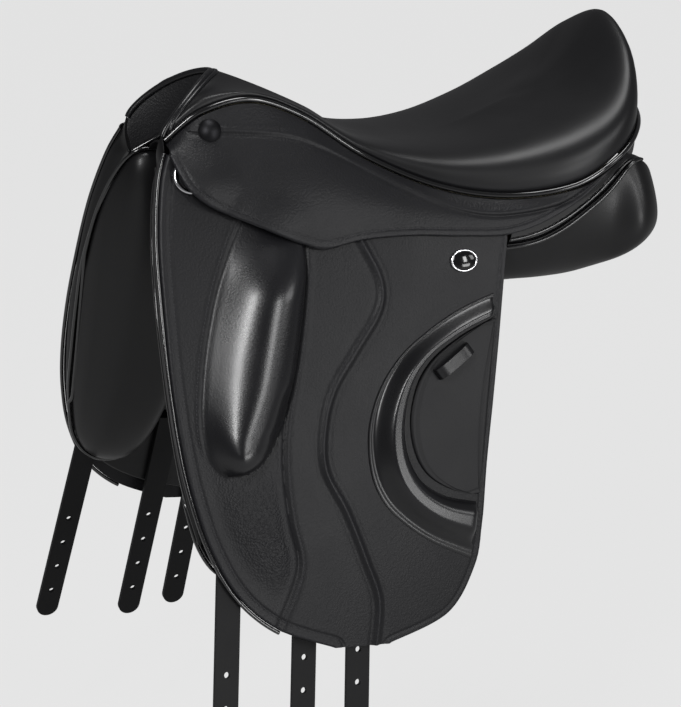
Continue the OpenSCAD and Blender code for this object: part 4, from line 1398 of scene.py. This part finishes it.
@dataclass
class Panel:
    """Flocked panel of one side with its piping, and the sweat flap over it, in millimetres.

    A section holds x, then y and z of the edge at the gullet and of the outer edge, the share of the
    thickness, the bow of the outer face, and the power that makes the inner face full.
    """

    side: Side
    thick: float = 46
    sections: Rail = field(default_factory=lambda: [
        [-264, 96, -70, 146, -205, 0.14, 2, 2.6], [-256, 66, -5, 161, -252, 0.4, 7, 3],
        [-238, 36, 44, 166, -278, 0.65, 12, 3.2], [-208, 32, 48, 168, -283, 0.78, 13, 3.2],
        [-186, 33, 45, 156, -255, 0.83, 13, 3], [-165, 35, 38, 137, -185, 0.87, 12, 3],
        [-135, 36, 26, 120, -128, 0.91, 11, 3], [-90, 36, 8, 110, -80, 0.96, 8, 3.4],
        [-40, 36, -8, 106, -50, 0.98, 5, 4], [15, 36, -14, 107, -36, 1, 4, 4.6],
        [70, 36, -18, 119, -33, 0.95, -2, 5], [100, 36, -15, 123, -26, 1.1, -5, 4.5],
        [130, 37, -7, 125, -10, 1.4, -8, 3.5], [160, 38, 0, 128, 14, 1.7, -8, 3],
        [190, 38, 0, 130, 52, 2.1, -6, 2.8], [222, 38, 0, 130, 68, 2.2, -6, 2.8]])
    round_from: float = 117
    round_to: float = 222.5
    round_power: float = 2.2
    middle: tuple[float, float] = (87.0, -25.0)
    cord_end: float = 190
    cord_rise: float = -214
    cord_out: float = 2.7
    cord_radius: float = 1.8
    collar_from: float = 58
    collar_to: float = 197
    welt_from: float = 160
    taper_from: float = 168
    taper: float = 28
    slit_x: float = -158
    slit_z: float = -252
    slit_long: float = 14
    slit_high: float = 8
    sweat_front: Rail = field(default_factory=lambda: [
        [-256, 3], [-261, -54], [-264, -110], [-264, -160], [-260, -205], [-250, -250], [-225, -290],
        [-186, -317], [-138, -335]])
    sweat_rear: Rail = field(default_factory=lambda: [
        [40, -30.5], [34, -60], [24, -108], [13, -160], [2, -212], [-7, -264], [-19, -298.5],
        [-48, -328.5], [-96, -339]])
    rows: int = 200
    across: int = 36

    def rings(self) -> Array:
        """Rings of points round the panel with a rounded rear end, in metres.

        Returns:
            Places, one ring in each row, whose last point repeats the first.
        """
        t = np.linspace(0, 1, self.rows + 1)
        r = Line.at(self.sections, 1 - (1 - t) ** 1.25)
        a, b = r[:, 1:3], r[:, 3:5]
        e = (b - a) / np.linalg.norm(b - a, axis=1, keepdims=True)
        n = np.stack([e[:, 1], -e[:, 0]], axis=1)
        s = 0.5 - 0.5 * np.cos(np.linspace(0, math.pi, self.across + 1))
        chord = a[:, None] * (1 - s[None, :, None]) + b[:, None] * s[None, :, None]
        outer = chord - n[:, None] * (r[:, 6, None] * 4 * s * (1 - s))[..., None]
        full = np.sqrt(np.maximum(0, 1 - np.abs(2 * s - 1)[None] ** r[:, 7, None]))
        inner = chord + n[:, None] * (self.thick * r[:, 5, None] * full)[..., None]
        loop = np.concatenate([outer, inner[:, ::-1][:, 1:]], axis=1)
        x = np.repeat(r[:, :1], loop.shape[1], axis=1)
        ahead = np.clip((r[:, 0] - self.round_from) / (self.round_to - self.round_from), 0, 1)
        shrink = np.sqrt(1 - ahead**self.round_power)[:, None, None]
        middle = np.array(self.middle)
        loop = middle + (loop - middle) * shrink
        return np.stack([x, self.side.value * loop[..., 0], loop[..., 1]], axis=-1) * MM

    def build(self, seat: Seat, low: Rail) -> None:
        """Builds and dresses the panel, its piping and the sweat flap.

        Args:
            seat: the seat over it.
            low: lower edge of the skirt over it.
        """
        tag = self.side.tag
        rings = self.rings()
        panel = Bench.loft(f"panel_leather_{tag}", rings)
        Stores.dress(panel, "panel_leather", "saddle", [f"panel_{tag}"])
        off = rings / MM * self.side.flip
        self.piping(tag, off)
        self.collar(tag, off, seat, low)
        self.sweat_flap(tag)

    def piping(self, tag: str, rings: Array) -> None:
        """Builds the patent piping along the panel's outer edge and round its front.

        Args:
            tag: ending of the side's names.
            rings: rings of the off side's panel in millimetres.
        """
        first, last = 2, int(np.argmax(rings[:, 0, 0] > self.cord_end))
        rise = int(np.argmin(np.abs(rings[:40, 0, 0] - self.cord_rise)))
        inner, outer = rings[:, 0], rings[:, self.across]
        edge = np.vstack([inner[rise:first:-1], outer[first:last]])
        away = np.vstack([(inner - outer)[rise:first:-1], (outer - inner)[first:last]])
        away[:, 0] = 0
        along = np.gradient(edge, axis=0)
        along /= np.linalg.norm(along, axis=1, keepdims=True)
        away -= along * (away * along).sum(axis=1, keepdims=True)
        away /= np.linalg.norm(away, axis=1, keepdims=True)
        path = (edge + away * self.cord_out) * self.side.flip * MM
        cord = Bench.rope(f"panel_cord_{tag}", Line.resample(path, 180), self.cord_radius * MM)
        Stores.dress(cord, "patent_leather", "saddle", [f"panel_piping_{tag}"])

    def collar(self, tag: str, rings: Array, seat: Seat, low: Rail) -> None:
        """Builds the patent band that closes the gap between the skirt's rear and the panel, and its cord.

        Args:
            tag: ending of the side's names.
            rings: rings of the off side's panel in millimetres.
            seat: the seat whose welt it follows.
            low: lower edge of the skirt.
        """
        foot = rings[:, self.across]
        foot = foot[(foot[:, 0] > self.collar_from) & (foot[:, 0] < self.collar_to)]
        skirt = Line.even(low, 400)
        welt = seat.edge(np.linspace(0.6, 1, 400))
        x = foot[:, 0]
        order = np.argsort(skirt[:, 0])
        z = np.interp(x, skirt[order, 0], skirt[order, 1]) + 1
        far = x > self.welt_from
        z = np.where(far, np.interp(x, welt[:, 0], welt[:, 2]) - 7.5, z)
        y = np.where(far, np.interp(x, welt[:, 0], welt[:, 1]) - 2.5, Sides.y(x, z) + 3.4)
        head = np.stack([x, Line.relax(y, 6), Line.relax(z, 6)], axis=1)
        head = foot + (head - foot) * (1 - 0.9 * Line.ease((x - self.taper_from) / self.taper))[:, None]
        q = np.linspace(0, 1, 13)[None, :, None]
        face = head[:, None] * (1 - q) + foot[:, None] * q
        flip = self.side.flip * MM
        out = np.array([0, 1.2, 0]) * np.sin(math.pi * q)
        back = face - np.array([0, 1.6, 0])
        band = Bench.shell(f"panel_collar_{tag}", (face + out) * flip, back * flip)
        Stores.dress(band, "patent_leather", "saddle")
        path = (0.45 * head + 0.55 * foot + np.array([0.3, 1.8, 0])) * flip
        cord = Bench.rope(f"collar_cord_{tag}", Line.resample(path, 90), 1.5 * MM)
        Stores.dress(cord, "patent_leather", "saddle")

    def sweat_flap(self, tag: str) -> None:
        """Builds the sweat flap with the slit for the middle strap.

        Args:
            tag: ending of the side's names.
        """
        x, z = Sides.patch(self.sweat_front, self.sweat_rear, 130, 110)
        ahead, behind = (np.abs(Line.gap(x, z, rail)[0]) for rail in (self.sweat_front, self.sweat_rear))
        edge = np.minimum(ahead, behind)
        round_off = 1.0 * (1 - Line.dome(edge / 1.6))
        outer = Sides.place(x, z, Layer.SWEAT_OUT.value - round_off, self.side)
        inner = Sides.place(x, z, Layer.SWEAT_IN.value + round_off, self.side)

        def slit(middle: Vector) -> bool:
            """Tells whether a face lies in the slit."""
            x, z = middle.x / MM - self.slit_x, middle.z / MM - self.slit_z
            return abs(x) < self.slit_long and abs(z) < self.slit_high

        piece = Bench.shell(f"sweat_leather_{tag}", outer, inner, np.exp(-edge / 2), cut=slit)
        Stores.dress(piece, "panel_leather", "saddle", [f"sweat_flap_{tag}"])


@dataclass
class Gullet:
    """Lining between the panels, in millimetres."""

    panel: Panel
    thick: float = 2
    rise: float = 14

    def build(self) -> None:
        """Builds and dresses the lining."""
        share = np.linspace(0, 1, 90)
        r = Line.at(self.panel.sections, 0.165 + 0.705 * share)
        y = np.linspace(-1, 1, 41)
        w, a = (r[:, 1] - 0.6)[:, None], r[:, 2][:, None]
        z = (a + 0.3) * y**2 + np.maximum(a + (self.rise - 8 * share**3)[:, None], 0) * (1 - y**2)
        low = np.stack([r[:, 0][:, None] + 0 * z, y * w, z], axis=-1) * MM
        lining = Bench.shell("gullet_leather", low + np.array([0, 0, self.thick]) * MM, low)
        Stores.dress(lining, "panel_leather", "saddle", ["gullet_lining"])


@dataclass
class Trimmings:
    """Small pieces of one side: stud, keeper and strap tops, in millimetres."""

    side: Side
    stud_x: float = 10
    stud_z: float = -38
    stud_w: float = 25
    stud_share: float = 0.8
    keeper_x: float = -12
    keeper_z: float = -121
    keeper_out: float = 6.6
    keeper_turn: float = 32

    def seat_on(self, obj: bpy.types.Object, x: float, z: float, out: float, turn: float = 0) -> None:
        """Sets a piece, modelled with its up axis along Z, on the side surface.

        Args:
            obj: the piece.
            x: lengthwise place in millimetres.
            z: height.
            out: distance outward.
            turn: turn about the outward direction in degrees.
        """
        n = Sides.normal(np.array([x]), np.array([z]))[0] * self.side.flip
        spot = Sides.place(np.array([x]), np.array([z]), out, self.side)[0]
        normal = Vector(n)
        along = Vector((1, 0, 0)) - normal * normal.x
        along.normalize()
        up = normal.cross(along)
        c, s = math.cos(math.radians(turn)), math.sin(math.radians(turn))
        e1, e2 = along * c + up * s, up * c - along * s
        m = Matrix((e1, e2, normal)).transposed().to_4x4()
        m.translation = Vector(spot)
        obj.data.transform(m)
        obj.data.update()
        Bench.outward(obj, 40)

    def oval(self, name: str, less: float, high: float) -> bpy.types.Object:
        """Names the active round piece and stretches it to the stud's oval.

        Args:
            name: name of the piece.
            less: distance by which it stays inside the stud's outline, in millimetres.
            high: height of a piece of radius 1, in millimetres.

        Returns:
            The piece.
        """
        obj = bpy.context.object
        obj.name = name
        bpy.ops.object.mode_set(mode="EDIT")
        bpy.ops.mesh.select_all(action="SELECT")
        wide, tall = self.stud_w / 2 - less, self.stud_w * self.stud_share / 2 - less
        bpy.ops.transform.resize(value=(wide * MM, tall * MM, high * MM), center_override=(0, 0, 0))
        bpy.ops.object.mode_set(mode="OBJECT")
        return obj

    def stud(self) -> None:
        """Builds the oval stud: an enamel dome in a chrome rim."""
        tag = self.side.tag
        Bench.clear()
        bpy.ops.mesh.primitive_uv_sphere_add(segments=64, ring_count=32, radius=1)
        bpy.ops.object.mode_set(mode="EDIT")
        bpy.ops.mesh.select_all(action="SELECT")
        bpy.ops.mesh.bisect(plane_co=(0, 0, 0), plane_no=(0, 0, 1), clear_inner=True, use_fill=True)
        dome = self.oval(f"stud_face_{tag}", 1, 2.6)
        self.seat_on(dome, self.stud_x, self.stud_z, Layer.BLOCK.value + 1.0)
        Stores.dress(dome, "enamel", f"flap_{tag}", [f"stud_{tag}"])
        Bench.clear()
        bpy.ops.mesh.primitive_torus_add(major_segments=72, minor_segments=14, minor_radius=0.11)
        rim = self.oval(f"stud_rim_{tag}", 0.9, 12)
        self.seat_on(rim, self.stud_x, self.stud_z, Layer.BLOCK.value + 0.9)
        Stores.dress(rim, "chrome", f"flap_{tag}")

    def keeper(self) -> None:
        """Builds the small leather keeper on the insert."""
        tag = self.side.tag
        turn = np.linspace(math.pi, 0, 61)[:, None]
        w = np.linspace(-5, 5, 9)[None]
        square = 0.55
        along = np.sign(np.cos(turn)) * np.abs(np.cos(turn)) ** square
        up = np.abs(np.sin(turn)) ** square
        faces = []
        for long, high in ((20, 9.5), (18, 7.5)):
            faces.append(np.stack([long * along + 0 * w, w + 0 * along, high * up + 0 * w], axis=-1) * MM)
        loop = Bench.shell(f"keeper_leather_{tag}", faces[0], faces[1])
        self.seat_on(loop, self.keeper_x, self.keeper_z, self.keeper_out, self.keeper_turn * -self.side.value)
        Stores.dress(loop, "block_leather", f"flap_{tag}", [f"keeper_{tag}"])

    def strap_tops(self) -> None:
        """Builds the upper stretches of the girth straps, under the flap."""
        tag = self.side.tag
        rows = zip((-235, -158, -112), (9, 8, 7), (-8, -14, -16))
        half, pivot = 11, -252
        w = np.linspace(-half, half, 17)[None]
        for k, (x0, lean, top) in enumerate(rows):
            z = np.linspace(top, pivot + 7.5, 90)[:, None] + 0 * w
            x = x0 + (z - pivot) * math.tan(math.radians(lean)) + w
            edge = np.minimum(half - np.abs(w), 2) / 2
            soft = 0.7 * (1 - Line.dome(edge))
            strap = Bench.shell(f"strap_top_{k + 1}_{tag}", Sides.place(x, z, -1 - soft, self.side),
                                Sides.place(x, z, -5 + soft, self.side))
            Stores.dress(strap, "strap_leather", "saddle", [f"strap_tops_{tag}"])

    def build(self) -> None:
        """Builds the small pieces."""
        self.stud()
        self.keeper()
        self.strap_tops()


@dataclass
class Studio:
    """Floor, lights, world and camera, in metres."""

    spot: tuple[float, float, float] = (-1.0316, -2.1386, 0.5932)
    look: tuple[float, float, float] = (0.3976, 0.8663, -0.3024)
    lens: float = 135.73
    floor_z: float = -0.62
    floor_grey: float = 0.5
    pale: float = 0.84
    dim: float = 0.17
    aim: tuple[float, float, float] = (-0.03, 0, -0.05)

    def camera(self) -> None:
        """Adds the camera at the photograph's angle."""
        data = bpy.data.cameras.new("camera")
        data.lens, data.sensor_width, data.sensor_fit = self.lens, 36, "AUTO"
        data.clip_end = 200
        cam = bpy.data.objects.new("camera", data)
        cam.location = self.spot
        cam.rotation_euler = Vector(self.look).to_track_quat("-Z", "Y").to_euler()
        bpy.context.scene.collection.objects.link(cam)
        bpy.context.scene.camera = cam

    def lamp(self, name: str, spot: Sequence[float], wide: float, high: float, power: float) -> None:
        """Adds a soft box that faces the saddle.

        Args:
            name: name of the lamp.
            spot: its place in metres.
            wide: its width in metres.
            high: its height in metres.
            power: its power in watts.
        """
        data = bpy.data.lights.new(name, "AREA")
        data.shape = "RECTANGLE"
        data.size, data.size_y, data.energy = wide, high, power
        lamp = bpy.data.objects.new(name, data)
        lamp.location = spot
        lamp.rotation_euler = (Vector(self.aim) - Vector(spot)).to_track_quat("-Z", "Y").to_euler()
        bpy.context.scene.collection.objects.link(lamp)

    def ground(self) -> None:
        """Adds the pale floor, which shows an even tone and keeps a soft shadow."""
        Bench.clear()
        place = (0, 0, self.floor_z)
        bpy.ops.mesh.primitive_circle_add(vertices=96, radius=40, fill_type="NGON", location=place)
        floor = bpy.context.object
        floor.name = "floor"
        p = Paint.new("floor")
        seen, mirrored = p.rays()
        matte = p.node("ShaderNodeBsdfDiffuse", {}, {"Color": tone((1, 1, 1), self.floor_grey)})
        glow = p.node("ShaderNodeEmission", {}, {"Color": tone((1, 1, 1), self.pale), "Strength": 1.0})
        share = (seen * 0.9 + mirrored * 0.2).limit()
        p.close(p.node("ShaderNodeMixShader", {}, {0: share, 1: matte, 2: glow}), "ShaderNodeOutputMaterial")
        floor.data.materials.append(p.block)

    def sky(self) -> bpy.types.World:
        """Makes the world: dim grey light that shows the floor's pale tone to the camera.

        Returns:
            The world.
        """
        p = Paint(bpy.data.worlds.new("studio"))
        seen, mirrored = p.rays()
        dim = p.node("ShaderNodeBackground", {}, {0: (0.5, 0.5, 0.52, 1), 1: self.dim})
        pale = p.node("ShaderNodeBackground", {}, {0: tone((1, 1, 1), self.pale * 0.92), 1: 1.0})
        share = seen + mirrored * 0.06
        p.close(p.node("ShaderNodeMixShader", {}, {0: share, 1: dim, 2: pale}), "ShaderNodeOutputWorld")
        return p.block

    def build(self) -> None:
        """Builds the studio."""
        scene = bpy.context.scene
        scene.view_settings.view_transform = "Standard"
        scene.world = self.sky()
        self.camera()
        self.ground()
        self.lamp("key", (-1.45, -1.5, 1.35), 0.28, 1.1, 26)
        self.lamp("front", (0.75, -2.5, -0.12), 0.8, 0.5, 10)
        self.lamp("streak", (0.68, -2.4, 0.85), 0.3, 0.8, 10)
        self.lamp("right", (1.5, -1.9, 0.9), 0.7, 0.7, 7)
        self.lamp("top", (0.1, -0.05, 2.3), 0.9, 0.9, 22)


def carry_over() -> None:
    """Gives every node that stays its finish from the record, and the nails gunmetal instead."""
    hidden = {n for o in bpy.data.objects for n in o.get("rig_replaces", [])}
    for part in frame["record"]["subparts"]:
        if part["node"] in hidden:
            continue
        mesh = frame["nodes"][part["node"]].data
        mesh.materials.clear()
        finish = "gunmetal" if part["node"].startswith("nail") else part["material_slot"]
        mesh.materials.append(Stores.material(finish))
        LOG.info("%s: kept, %s", part["node"], finish)


def main() -> None:
    """Builds the saddle's pieces in order and then the studio."""
    logging.basicConfig(level=logging.INFO, format="%(message)s")
    seat = Seat()
    seat.build()
    for side in Side:
        skirt = Skirt(side, seat)
        skirt.build()
        Flap(side).build()
        Panel(side).build(seat, skirt.low)
        Trimmings(side).build()
    Gullet(Panel(Side.OFF)).build()
    carry_over()
    Studio().build()


if __name__ == "__main__":
    main()
